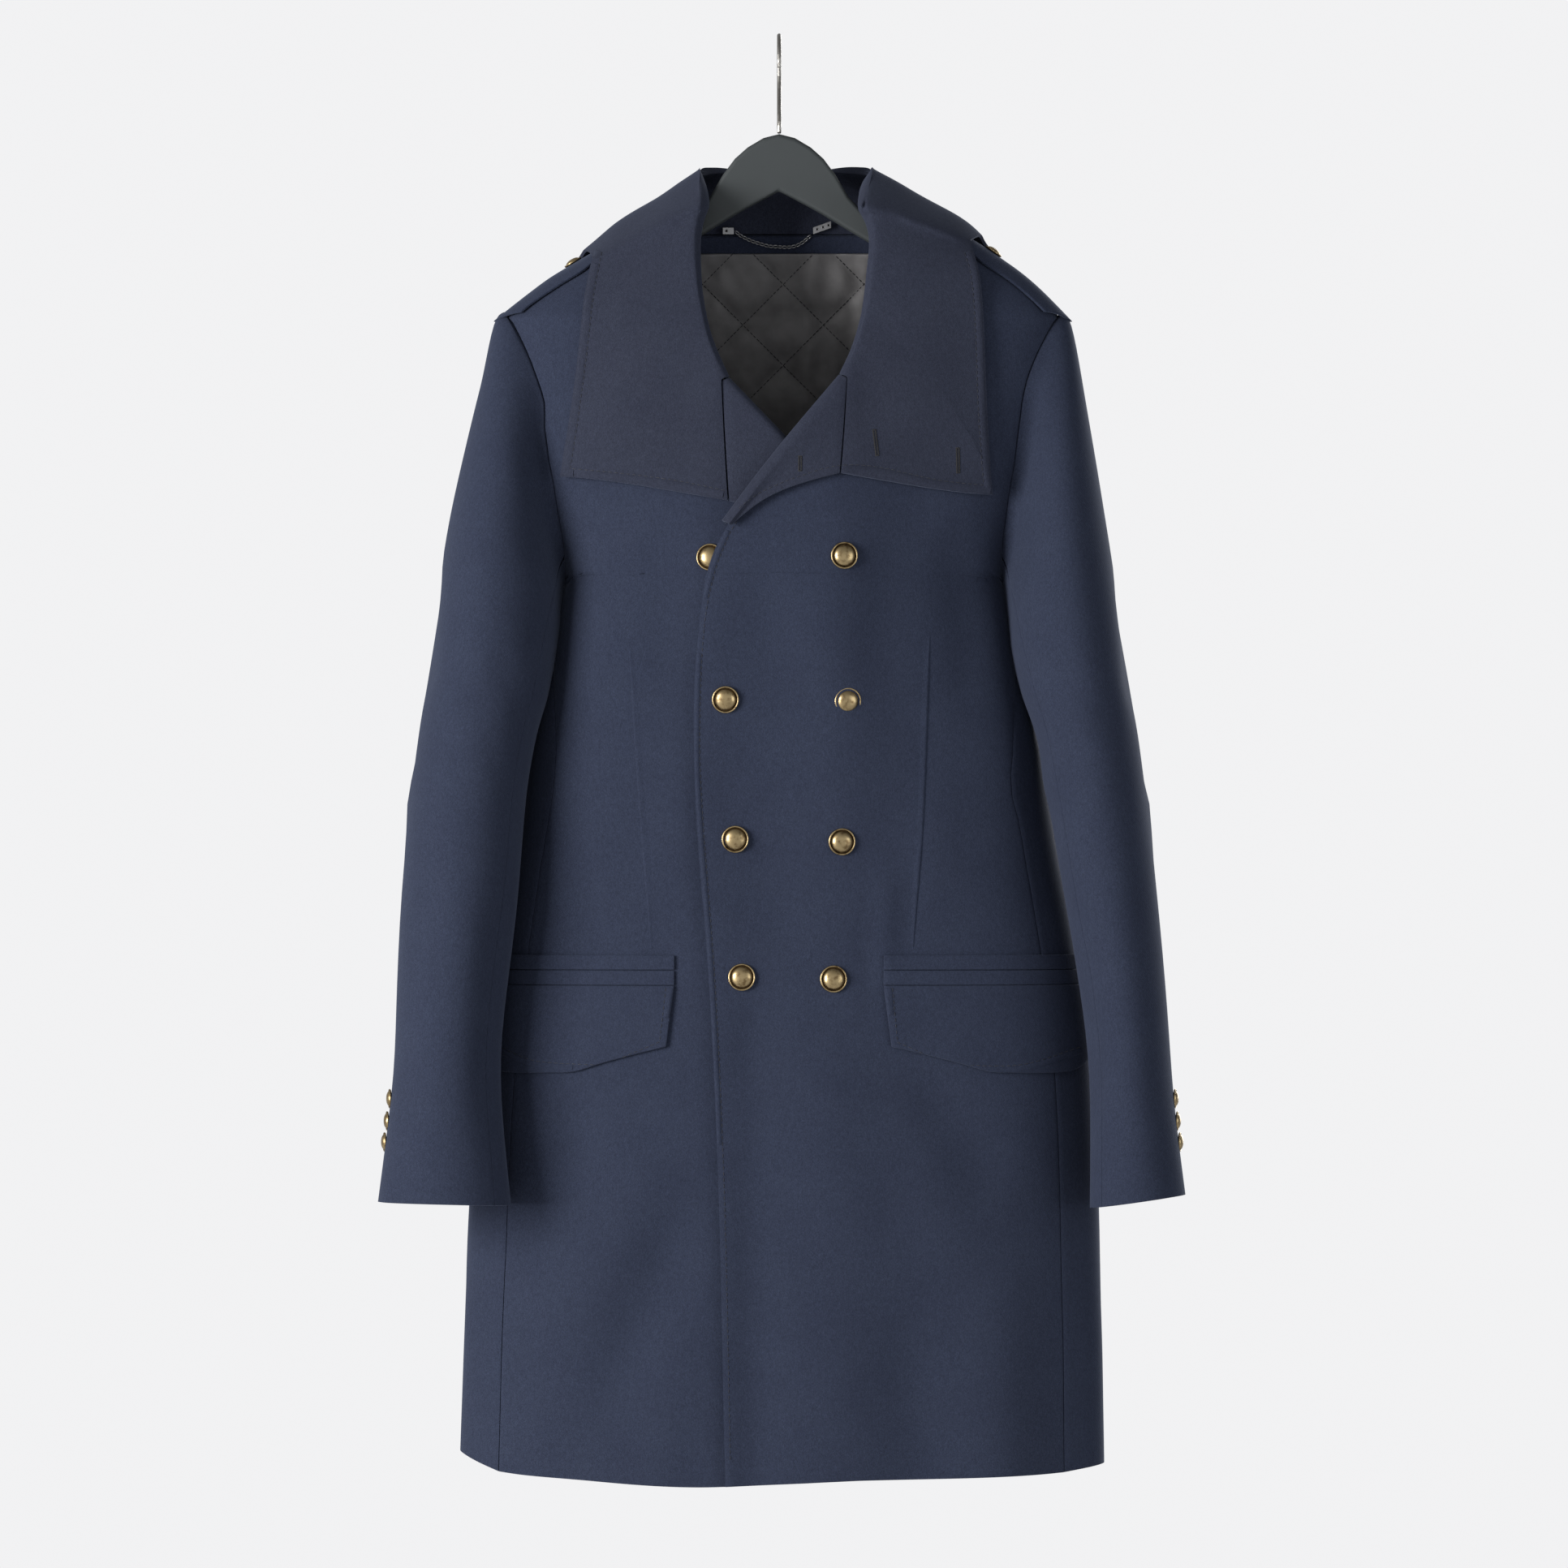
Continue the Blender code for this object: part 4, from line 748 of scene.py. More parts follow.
@dataclass
class ClothPiece:
    """A dressed cloth piece: the solid's form with smooth panels, soft edges and the shared folds.

    The angles are in degrees.
    """

    cut: Cut
    quad_angle: float = 35.0
    quad_shape: float = 75.0
    rim_angle: float = 48.0
    bevel_angle: float = 50.0
    sharp_angle: float = 60.0
    fits: int = 3
    fit_share: float = 0.9
    obj: bpy.types.Object | None = None

    def refined(self) -> bpy.types.Mesh:
        """Rebuilds the solid's faces as quads and subdivides them, with rounded rims.

        Returns:
            The fine mesh.
        """
        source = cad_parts[self.cut.node]
        bm = bmesh.new()
        bm.from_mesh(source.data)
        bmesh.ops.transform(bm, matrix=source.matrix_world, verts=bm.verts)
        bmesh.ops.remove_doubles(bm, verts=bm.verts, dist=0.01 * MM)
        bmesh.ops.join_triangles(bm, faces=bm.faces, angle_face_threshold=math.radians(self.quad_angle),
                                 angle_shape_threshold=math.radians(self.quad_shape))
        layer = bm.edges.layers.float.get("crease_edge") or bm.edges.layers.float.new("crease_edge")
        sharp = math.radians(self.rim_angle)
        for edge in bm.edges:
            edge[layer] = 1.0 if len(edge.link_faces) != 2 or edge.calc_face_angle(0.0) > sharp else 0.0
        mesh = bpy.data.meshes.new(self.cut.node + "_base")
        bm.to_mesh(mesh)
        bm.free()
        base = bpy.data.objects.new(self.cut.node + "_base", mesh)
        bpy.context.scene.collection.objects.link(base)
        fine = base.modifiers.new("fine", "SUBSURF")
        fine.levels = self.cut.levels
        fine.render_levels = self.cut.levels
        self.keep_to_form(base)
        rim = base.modifiers.new("rim", "BEVEL")
        rim.width = self.cut.edge
        rim.segments = 2
        rim.limit_method = "ANGLE"
        rim.angle_limit = math.radians(self.bevel_angle)
        rim.use_clamp_overlap = True
        graph = bpy.context.evaluated_depsgraph_get()
        out = bpy.data.meshes.new_from_object(base.evaluated_get(graph))
        bpy.data.objects.remove(base)
        return out

    def keep_to_form(self, base: bpy.types.Object) -> None:
        """Moves the coarse points until the smooth surface passes through where they stood.

        Args:
            base: the coarse object, with its subdivision.
        """
        count = len(base.data.vertices)
        wanted = np.empty(count * 3)
        base.data.vertices.foreach_get("co", wanted)
        coarse = wanted.copy()
        for _ in range(self.fits):
            graph = bpy.context.evaluated_depsgraph_get()
            smooth = base.evaluated_get(graph).to_mesh()
            got = np.empty(len(smooth.vertices) * 3)
            smooth.vertices.foreach_get("co", got)
            coarse += self.fit_share * (wanted - got[:count * 3])
            base.data.vertices.foreach_set("co", coarse)
            base.data.update()

    def build(self, drape: Drape, material: bpy.types.Material) -> "ClothPiece":
        """Builds and dresses the piece.

        Args:
            drape: the shared folds.
            material: the cloth's material.

        Returns:
            The piece itself.
        """
        mesh = self.refined()
        points = np.empty(len(mesh.vertices) * 3)
        mesh.vertices.foreach_get("co", points)
        points = self.shape(drape.move(points.reshape(-1, 3)))
        mesh.vertices.foreach_set("co", points.ravel())
        mesh.materials.clear()
        mesh.materials.append(material)
        mesh.shade_smooth()
        mesh.set_sharp_from_angle(angle=math.radians(self.sharp_angle))
        mesh.update()
        name = "cloth_" + self.cut.node
        mesh.name = name
        self.obj = bpy.data.objects.new(name, mesh)
        bpy.context.scene.collection.objects.link(self.obj)
        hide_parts(self.cut.node)
        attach(self.obj, BODY)
        LOG.info("%s: %d faces", name, len(mesh.polygons))
        return self

    def shape(self, points: np.ndarray) -> np.ndarray:
        """Adds what only this kind of piece has.

        Args:
            points: the draped points.

        Returns:
            The points, moved where needed.
        """
        return points


@dataclass
class LappedFront(ClothPiece):
    """The over front: its doubled edge stands a little off the under front, below the lapels."""

    lift: float = 3.6 * MM
    reach: float = 24 * MM
    top: float = -0.38
    fade: float = 0.08
    front_of: float = -0.04

    def shape(self, points: np.ndarray) -> np.ndarray:
        """Lifts the cloth beside the front edge.

        Args:
            points: the draped points.

        Returns:
            The lifted points.
        """
        edge = smooth_path(FRONT_EDGE[0], 2.0 * MM)[::-1]
        x, z = points[:, 0], points[:, 2]
        away = np.maximum(x - np.interp(z, edge[:, 1], edge[:, 0]), 0.0)
        below = np.clip((self.top - z) / self.fade, 0.0, 1.0) * (points[:, 1] < self.front_of)
        out = points.copy()
        out[:, 1] -= self.lift * below * np.exp(-(away / self.reach) ** 2)
        return out


@dataclass
class StrapCloth(ClothPiece):
    """A shoulder strap, whose outer end runs on over the shoulder point to the sleeve head seam."""

    run_on: float = 30 * MM
    reach: float = 15.0 * MM
    drop_right: float = 14.5 * MM
    drop_left: float = 17.0 * MM

    def shape(self, points: np.ndarray) -> np.ndarray:
        """Runs the outer end on and lays it down.

        Args:
            points: the draped points.

        Returns:
            The moved points.
        """
        far = np.abs(points[:, 0])
        t = np.clip((far - far.max() + self.run_on) / self.run_on, 0.0, 1.0)
        out = points.copy()
        side = float(np.sign(points[:, 0].mean()))
        out[:, 0] += side * self.reach * t * t
        out[:, 2] -= (self.drop_left if side > 0.0 else self.drop_right) * t * t
        return out


@dataclass
class SleeveCloth(ClothPiece):
    """A sleeve piece: under the arm it rests against the body's side."""

    place: float = -0.462
    length: float = 38 * MM
    fade: float = 26 * MM
    outer: float = 0.216
    width: float = 30 * MM
    lean_right: float = 4.4 * MM
    lean_left: float = 5.4 * MM

    def shape(self, points: np.ndarray) -> np.ndarray:
        """Leans the inner side of the sleeve on the body.

        Args:
            points: the draped points.

        Returns:
            The moved points.
        """
        side = float(np.sign(points[:, 0].mean()))
        lean = self.lean_left if side > 0.0 else self.lean_right
        beyond = np.maximum(np.abs(points[:, 2] - self.place) - self.length, 0.0)
        inner = np.clip((self.outer - np.abs(points[:, 0])) / self.width, 0.0, 1.0)
        out = points.copy()
        out[:, 0] -= side * lean * np.exp(-(beyond / self.fade) ** 2) * inner
        return out


@dataclass
class QuiltedLining(ClothPiece):
    """The lining: diamonds quilted on the slant, a centre-back seam and loose folds beside it.

    A row of the folds holds a place across, a width and a height.
    """

    crossing: Flat = (-0.028, -0.219)
    spacing: float = 44 * MM
    puff: float = 2.4 * MM
    valley: float = 5 * MM
    seam_x: float = 0.004
    seam_depth: float = 1.6 * MM
    seam_width: float = 2.5 * MM
    crumple: float = 0.5 * MM
    slant: float = 0.06
    slant_from: float = -0.25
    pleats: tuple = ((0.021, 5.0 * MM, 2.6 * MM), (0.044, 6.0 * MM, 2.2 * MM), (0.062, 5.0 * MM, 1.8 * MM),
                     (-0.050, 6.0 * MM, 1.2 * MM))

    def line_gap(self, x: np.ndarray, z: np.ndarray) -> np.ndarray:
        """Measures how far points lie from the nearest quilting line.

        Args:
            x: the points' x.
            z: the points' z.

        Returns:
            The distances in metres.
        """
        a = ((x - self.crossing[0]) + (z - self.crossing[1])) / math.sqrt(2) / self.spacing
        b = ((x - self.crossing[0]) - (z - self.crossing[1])) / math.sqrt(2) / self.spacing
        return np.minimum(np.abs(a - np.round(a)), np.abs(b - np.round(b))) * self.spacing

    def shape(self, points: np.ndarray) -> np.ndarray:
        """Adds the quilting, the seam and the folds, towards the inside of the coat.

        Args:
            points: the draped points.

        Returns:
            The quilted points.
        """
        x, _, z = points.T
        puff = self.puff * (1.0 - np.exp(-self.line_gap(x, z) / self.valley))
        slanted = x - self.slant * (z - self.slant_from)
        folds = sum(high * np.exp(-0.5 * ((slanted - at) / wide) ** 2) for at, wide, high in self.pleats)
        seam = -self.seam_depth * np.exp(-np.abs(x - self.seam_x) / self.seam_width)
        crumple = self.crumple * np.sin(310 * x + 60 * z) * np.sin(170 * z + 90 * x)
        out = points.copy()
        out[:, 1] -= puff + folds + seam + crumple
        return out

    def lines(self) -> list[list[Flat]]:
        """Gives the quilting lines across the piece.

        Returns:
            The lines' end points in x and z.
        """
        lo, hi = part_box("lining")
        out = []
        for k in range(-8, 9):
            for slope in (1.0, -1.0):
                c = self.crossing[1] - slope * self.crossing[0] + k * self.spacing * math.sqrt(2)
                out.append([(lo.x, slope * lo.x + c), (hi.x, slope * hi.x + c)])
        return out


# Sewing


@dataclass(frozen=True)
class Stitch:
    """A stitch's size: its length, the gap to the next, the thread's radius and how proud it stands."""

    length: float = 3.3 * MM
    gap: float = 1.3 * MM
    radius: float = 0.26 * MM
    proud: float = 0.05 * MM


EDGE_STITCH = Stitch()
HOLE_STITCH = Stitch(1.4 * MM, 0.1 * MM, 0.30 * MM, 0.10 * MM)
BAR_STITCH = Stitch(3.4 * MM, 0.2 * MM, 0.38 * MM, 0.12 * MM)
QUILTING_STITCH = Stitch(2.9 * MM, 0.7 * MM, 0.34 * MM)


@dataclass
class Sewing:
    """Threads laid on the dressed cloth.

    A row of the profile holds a place along the stitch, by its length, and a thickness and a lift, by its radius.
    """

    name: str
    material: bpy.types.Material
    sides: int = 6
    longest: float = 1.8
    profile: tuple = ((-0.5, 0.25, -0.30), (-0.34, 0.9, 0.35), (0.0, 1.0, 0.60), (0.34, 0.9, 0.35), (0.5, 0.25, -0.30))
    points: list[Vector] = field(default_factory=list)
    faces: list[list[int]] = field(default_factory=list)

    def lay(self, at: Vector, along: Vector, normal: Vector, length: float, stitch: Stitch) -> None:
        """Lays one stitch.

        Args:
            at: the stitch's middle, on the cloth.
            along: its direction.
            normal: the cloth's normal there.
            length: its length in metres.
            stitch: the thread.
        """
        side = along.cross(normal).normalized()
        up = side.cross(along).normalized()
        if up.dot(normal) < 0.0:
            up = -up
        first = len(self.points)
        for where, thick, lift in self.profile:
            middle = at + along * (where * length) + up * (stitch.radius * lift + stitch.proud)
            self.points.extend(middle + spoke * (stitch.radius * thick) for spoke in spokes(side, up, self.sides))
        last = first + (len(self.profile) - 1) * self.sides
        self.faces.extend(ring_faces(first, len(self.profile), self.sides))
        self.faces.append([first + k for k in reversed(range(self.sides))])
        self.faces.append([last + k for k in range(self.sides)])

    def run(self, path: np.ndarray, cloth: BVHTree, stitch: Stitch) -> None:
        """Sews along a path; a stitch that misses the cloth or jumps over a step is left out.

        Args:
            path: the path in x and z.
            cloth: the dressed cloth, on which it is dropped from the front.
            stitch: the thread.
        """
        dist = distances(path)
        half = 0.5 * stitch.length
        at = half
        while at < dist[-1] - half:
            ends = []
            for d in (at - half, at, at + half):
                x, z = float(np.interp(d, dist, path[:, 0])), float(np.interp(d, dist, path[:, 1]))
                ends.append(Facing.FRONT.drop(cloth, x, z))
            at += stitch.length + stitch.gap
            if None in ends:
                continue
            (a, _), (middle, normal), (b, _) = ends
            length = (b - a).length
            if 1e-6 <= length <= self.longest * stitch.length:
                self.lay(middle, (b - a).normalized(), normal, length, stitch)

    def finish(self) -> bpy.types.Object:
        """Turns the threads into one piece.

        Returns:
            The object.
        """
        obj = mesh_object(self.name, self.points, self.faces, [self.material])
        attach(obj, BODY)
        return obj


@dataclass(frozen=True)
class Welt:
    """The turned edge of a piece: it swells from the edge and sinks at the line of stitching.

    A row of the profile holds a place across, by the inset, and a height, by the swell.
    """

    name: str
    nodes: tuple[str, ...]
    legs: list[list[Flat]]
    inset: float
    swell: float = 0.60 * MM
    warm: bool = False
    step: float = 2.5 * MM
    widest: float = 6.0 * MM
    longest: float = 3.0
    profile: tuple = ((0.05, -0.5), (0.16, 0.45), (0.36, 0.95), (0.58, 1.0), (0.80, 0.62), (0.95, 0.05), (1.03, -0.5))

    def build(self, cloth: BVHTree, material: bpy.types.Material) -> bpy.types.Object:
        """Lays the swelling on the dressed cloth.

        Args:
            cloth: the dressed piece.
            material: the cloth's material.

        Returns:
            The object.
        """
        points, faces = [], []
        n = len(self.profile)
        for leg in self.legs:
            path = smooth_path(leg, self.step)
            before = False
            for at, side in zip(path, left_of(path)):
                row = []
                for across, up in self.profile:
                    x, z = at + side * (across * self.inset)
                    landed = Facing.FRONT.drop(cloth, float(x), float(z))
                    if landed is None:
                        break
                    row.append(landed[0] + landed[1] * (self.swell * up))
                whole = len(row) == n and max((a - b).length for a, b in zip(row, row[1:])) < self.widest
                if whole:
                    points.extend(row)
                    if before and (points[-2 * n] - row[0]).length < self.longest * self.step:
                        faces.extend(strip_faces(len(points) - 2 * n, 2, n))
                before = whole
        obj = mesh_object(self.name, points, faces, [material])
        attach(obj, BODY)
        return obj


@dataclass(frozen=True)
class FoldLine:
    """A dart or sewn fold: the cloth rises gently to a line and drops sharply behind it.

    A row of the profile holds a place across, by the width or the heel, and a height, by the rise.
    """

    name: str
    path: list[Flat]
    rise: float = 0.55 * MM
    width: float = 6.5 * MM
    side: float = 1.0
    step: float = 3.0 * MM
    heel: float = 1.6 * MM
    taper: float = 6.0
    thinnest: float = 0.15
    profile: tuple = ((-0.45, -0.45), (-0.12, 0.30), (0.0, 1.0), (0.25, 0.72), (0.6, 0.25), (1.0, -0.35))

    def build(self, cloth: BVHTree, material: bpy.types.Material) -> bpy.types.Object:
        """Lays the fold on the dressed cloth.

        Args:
            cloth: the dressed cloth.
            material: the cloth's material.

        Returns:
            The object.
        """
        path = smooth_path(self.path, self.step)
        points, rows = [], 0
        for i, (x, z) in enumerate(path):
            t = i / (len(path) - 1)
            swell = min(1.0, self.taper * t, self.taper * (1.0 - t)) ** 0.5
            row = []
            for across, up in self.profile:
                reach = self.width if across > 0.0 else self.heel
                landed = Facing.FRONT.drop(cloth, x + self.side * across * reach * max(swell, self.thinnest), z)
                if landed is None:
                    break
                row.append(landed[0] + landed[1] * (self.rise * up * swell))
            if len(row) == len(self.profile):
                points.extend(row)
                rows += 1
        obj = mesh_object(self.name, points, strip_faces(0, rows, len(self.profile)), [material])
        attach(obj, BODY)
        return obj


@dataclass(frozen=True)
class Buttonhole:
    """A worked buttonhole: two rows of close stitches with a narrow gap between, and a bar across each end."""

    start: Flat
    end: Flat
    half_width: float = 0.9 * MM
    pitch: float = 0.62 * MM
    bite: float = 0.75 * MM
    bar: float = 1.9 * MM

    def sew(self, sewing: Sewing, cloth: BVHTree) -> None:
        """Works the buttonhole.

        Args:
            sewing: the threads that it is added to.
            cloth: the dressed cloth.
        """
        a, b = np.array(self.start), np.array(self.end)
        length = float(np.linalg.norm(b - a))
        along = (b - a) / length
        across = np.array([-along[1], along[0]])
        for at in np.arange(0.0, length, self.pitch):
            for side in (-1.0, 1.0):
                middle = a + along * at + across * side * self.half_width
                ends = np.array([middle - across * self.bite, middle + across * self.bite])
                sewing.run(ends, cloth, HOLE_STITCH)
        for end in (a, b):
            ends = np.array([end - across * self.bar, end + across * self.bar])
            sewing.run(ends, cloth, BAR_STITCH)


# Edges in x and z, read from the photograph
RIGHT_LEAF_EDGE = [
    [(-0.1425, -0.164), (-0.149, -0.200), (-0.153, -0.236), (-0.160, -0.290), (-0.1675, -0.338)],
    [(-0.1675, -0.338), (-0.125, -0.342), (-0.080, -0.348), (-0.0385, -0.3565)],
]
LEFT_LEAF_EDGE = [
    [(0.1485, -0.164), (0.154, -0.186), (0.157, -0.230), (0.159, -0.290), (0.1635, -0.352)],
    [(0.1635, -0.352), (0.120, -0.3475), (0.075, -0.338), (0.046, -0.337), (0.017, -0.345),
     (-0.0115, -0.357), (-0.030, -0.371)],
]
FRONT_EDGE = [
    [(-0.0335, -0.366), (-0.0422, -0.381), (-0.054, -0.412), (-0.062, -0.4557), (-0.0651, -0.529),
     (-0.0632, -0.594), (-0.0533, -0.729), (-0.0465, -0.8835), (-0.0418, -1.090)],
]
RIGHT_FLAP_EDGE = [
    [(-0.0805, -0.729), (-0.0856, -0.7738)],
    [(-0.0856, -0.7738), (-0.133, -0.7936)],
    [(-0.133, -0.7936), (-0.186, -0.7905), (-0.215, -0.780)],
]
LEFT_FLAP_EDGE = [
    [(0.0805, -0.729), (0.0845, -0.774)],
    [(0.0845, -0.774), (0.127, -0.7925)],
    [(0.127, -0.7925), (0.183, -0.7936), (0.2325, -0.780)],
]
# Each turned edge, in the order in which they are sewn; a leaf's stitches run over the collar and the lapels
LEAVES = ("collar", "lapel_left", "lapel_right")
WELTS = [
    Welt("welt_leaf_right", ("collar",), RIGHT_LEAF_EDGE, 6.8 * MM, 0.65 * MM, True),
    Welt("welt_leaf_left", ("collar", "lapel_left"), LEFT_LEAF_EDGE, -6.8 * MM, 0.65 * MM, True),
    Welt("welt_front", ("front_left",), FRONT_EDGE, 4.6 * MM, 0.75 * MM),
    Welt("welt_flap_right", ("pocket_flap_right",), RIGHT_FLAP_EDGE, -6.0 * MM, 0.5 * MM),
    Welt("welt_flap_left", ("pocket_flap_left",), LEFT_FLAP_EDGE, 6.0 * MM, 0.5 * MM),
]
DARTS = [
    FoldLine("dart_right", [(-0.1153, -0.462), (-0.1066, -0.594), (-0.1004, -0.668), (-0.0980, -0.6985)], side=1.0),
    FoldLine("dart_left", [(0.1153, -0.459), (0.1104, -0.594), (0.1048, -0.668), (0.1023, -0.6985)], side=-1.0),
]
BUTTONHOLES = [
    Buttonhole((0.0725, -0.3026), (0.0750, -0.3224)),
    Buttonhole((0.0161, -0.3230), (0.0161, -0.3342)),
    Buttonhole((0.1364, -0.3162), (0.1368, -0.3354)),
]


# Buttons


@dataclass(frozen=True)
class ButtonShape:
    """A domed button's turned profile: places out from the middle and heights, by its radius."""

    back: tuple = ((0.30, -0.03), (0.34, 0.02), (0.90, 0.03), (0.965, 0.07), (1.0, 0.135), (0.995, 0.185))
    rim: tuple = ((0.965, 0.225), (0.925, 0.235), (0.885, 0.215))
    groove: tuple = ((0.855, 0.155), (0.825, 0.118), (0.795, 0.125))
    dome: tuple = ((0.775, 0.185), (0.755, 0.245), (0.700, 0.315), (0.600, 0.385), (0.460, 0.440),
                   (0.300, 0.475), (0.150, 0.492), (0.045, 0.496))


@dataclass(frozen=True)
class Button:
    """A domed brass button in the place of its CAD node."""

    node: str
    shape: ButtonShape = ButtonShape()
    sides: int = 48
    sink: float = 0.15 * MM
    nearest: float = 3.0 * MM
    wobble: float = 0.004

    def seat(self) -> tuple[Vector, Vector, float]:
        """Finds where the CAD button sits.

        Returns:
            The middle of its back, its outward axis and its radius.
        """
        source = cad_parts[self.node]
        p = np.array([tuple(source.matrix_world @ v.co) for v in source.data.vertices])
        p = np.unique(np.round(p, 6), axis=0)
        middle = p.mean(0)
        _, _, axes = np.linalg.svd(p - middle)
        axis = axes[2]
        radii = np.linalg.norm((p - middle) - np.outer((p - middle) @ axis, axis), axis=1)
        narrow = (p - middle)[radii < 0.5 * radii.max()] @ axis
        if narrow.mean() < ((p - middle)[radii > 0.8 * radii.max()] @ axis).mean():
            axis = -axis
        base = ((p - middle) @ axis).min()
        return Vector(middle + axis * base), Vector(axis), float(radii.max())

    def build(self, brass: bpy.types.Material, patina: bpy.types.Material, cloth: BVHTree) -> bpy.types.Object:
        """Builds the button.

        Args:
            brass: the bright brass.
            patina: the dark brass of the groove.
            cloth: the dressed cloth that it is sewn to.

        Returns:
            The object.
        """
        seat, axis, radius = self.seat()
        hit, _, _, gap = cloth.find_nearest(seat)
        if hit is not None and gap < self.nearest:
            seat = seat + axis * (hit - seat).dot(axis) - axis * self.sink
        side = axis.orthogonal().normalized()
        up = axis.cross(side)
        rings = self.shape.back + self.shape.rim + self.shape.groove + self.shape.dome
        dark_from = len(self.shape.back) + len(self.shape.rim) - 1
        dark_to = dark_from + len(self.shape.groove)
        points = []
        for out, high in rings:
            for k, spoke in enumerate(spokes(side, up, self.sides)):
                wobble = 1.0 + self.wobble * math.sin(3 * (2 * math.pi * k / self.sides) + 10 * out)
                points.append(seat + spoke * (radius * out * wobble) + axis * (radius * high))
        faces = ring_faces(0, len(rings), self.sides)
        slots = [1 if dark_from <= ring <= dark_to else 0 for ring in range(len(rings) - 1) for _ in range(self.sides)]
        faces.append(list(reversed(range(self.sides))))
        faces.append([(len(rings) - 1) * self.sides + k for k in range(self.sides)])
        slots.extend([1, 0])
        obj = mesh_object("brass_" + self.node, points, faces, [brass, patina], slots)
        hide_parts(self.node)
        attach(obj, BODY)
        return obj


# Chain, hanger and hook


@dataclass(frozen=True)
class Chain:
    """The curb chain of the neck, with its two plates.

    A row of the rivet holds a place out from its middle and a height, in millimetres.
    """

    pitch: float = 3.5 * MM
    length: float = 5.1 * MM
    width: float = 3.3 * MM
    wire: float = 0.52 * MM
    lean: float = math.radians(34)
    turns: int = 14
    sides: int = 8
    slices: int = 14
    plate_rivets: tuple = (("chain_plate_left", (0.22, 0.55, 0.85)), ("chain_plate_right", (0.35,)))
    rivet_rings: tuple = ((1.25, -0.15), (1.22, 0.14), (1.05, 0.26), (0.85, 0.22), (0.72, 0.06), (0.70, -0.02),
                          (0.05, -0.02))
    # the rings from here inward and the cap are painted near-black as the shade inside the hole
    rivet_hole_shade_from: int = 4
    rivet_sides: int = 20
    rivet_proud: float = 0.04

    def path(self) -> np.ndarray:
        """Reads the chain's middle line from its solid.

        Returns:
            Points along the line, from the wearer's right to the left.
        """
        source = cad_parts["hanger_chain"]
        p = np.array([tuple(source.matrix_world @ v.co) for v in source.data.vertices])
        cuts = np.linspace(p[:, 0].min(), p[:, 0].max(), self.slices + 1)
        rows = [p[(p[:, 0] >= a - 1e-6) & (p[:, 0] <= b + 1e-6)] for a, b in zip(cuts[:-1], cuts[1:])]
        line = np.array([r.mean(0) for r in rows if len(r)])
        line[0, 0] = p[:, 0].min() + 0.5 * self.length
        line[-1, 0] = p[:, 0].max() - 0.5 * self.length
        return smooth_path([tuple(q) for q in line], 0.5 * MM)

    def build(self, steel: bpy.types.Material) -> bpy.types.Object:
        """Builds the links.

        Args:
            steel: the chain's steel.

        Returns:
            The object.
        """
        path = self.path()
        run = distances(path)
        count = int(round(run[-1] / self.pitch)) + 1
        points, faces = [], []
        for i in range(count):
            d = run[-1] * i / (count - 1)
            at, ahead, behind = (Vector([float(np.interp(where, run, path[:, k])) for k in range(3)])
                                 for where in (d, min(d + MM, run[-1]), max(d - MM, 0.0)))
            along = (ahead - behind).normalized()
            side = along.cross(Vector((0.0, 1.0, 0.0))).normalized()
            out = side.cross(along)
            lean = self.lean if i % 2 == 0 else -self.lean
            flat = side * math.cos(lean) + out * math.sin(lean)
            cross = along.cross(flat).normalized()
            first = len(points)
            for j in range(self.turns):
                a = 2 * math.pi * j / self.turns
                ring = along * (math.cos(a) * (0.5 * self.length - self.wire)) + flat * (
                    math.sin(a) * (0.5 * self.width - self.wire))
                points.extend(at + ring + spoke * self.wire for spoke in spokes(ring.normalized(), cross, self.sides))
            for j in range(self.turns):
                here, after = first + j * self.sides, first + ((j + 1) % self.turns) * self.sides
                for k in range(self.sides):
                    beside = (k + 1) % self.sides
                    faces.append([here + k, here + beside, after + beside, after + k])
        obj = mesh_object("chain_links", points, faces, [steel])
        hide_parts("hanger_chain")
        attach(obj, BODY)
        return obj

    def plates(self, steel: bpy.types.Material, dark: bpy.types.Material) -> None:
        """Finishes the plates and adds their rivets.

        Args:
            steel: the plates' steel.
            dark: the painted shade of the holes.
        """
        for node, places in self.plate_rivets:
            finish_node(node, steel, 0.35 * MM, 2)
            lo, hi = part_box(node)
            tree = tree_of(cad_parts[node])
            for i, t in enumerate(places):
                x = lo.x + t * (hi.x - lo.x)
                landed = [Facing.FRONT.drop(tree, x, float(z)) for z in np.linspace(lo.z, hi.z, 41)]
                landed = [place for place in landed if place is not None]
                if landed:
                    self.rivet(f"{node}_rivet_{i + 1}", *landed[len(landed) // 2], steel, dark)

    def rivet(self, name: str, at: Vector, normal: Vector, steel: bpy.types.Material,
              dark: bpy.types.Material) -> None:
        """Adds a rolled eyelet whose hole is painted near-black as its shade.

        Args:
            name: the piece's name.
            at: its place on the plate.
            normal: the plate's normal.
            steel: the eyelet's steel.
            dark: the painted shade of the hole.
        """
        side = normal.orthogonal().normalized()
        up = normal.cross(side)
        points = []
        for out, high in self.rivet_rings:
            lift = normal * (high * MM + self.rivet_proud * MM)
            points.extend(at + spoke * (out * MM) + lift for spoke in spokes(side, up, self.rivet_sides))
        rings, n = len(self.rivet_rings), self.rivet_sides
        faces = ring_faces(0, rings, n) + [[(rings - 1) * n + k for k in range(n)]]
        # the hole's wall and floor take the painted shade
        slots = [1 if ring >= self.rivet_hole_shade_from else 0 for ring in range(rings - 1) for _ in range(n)] + [1]
        obj = mesh_object(name, points, faces, [steel, dark], slots)
        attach(obj, BODY)


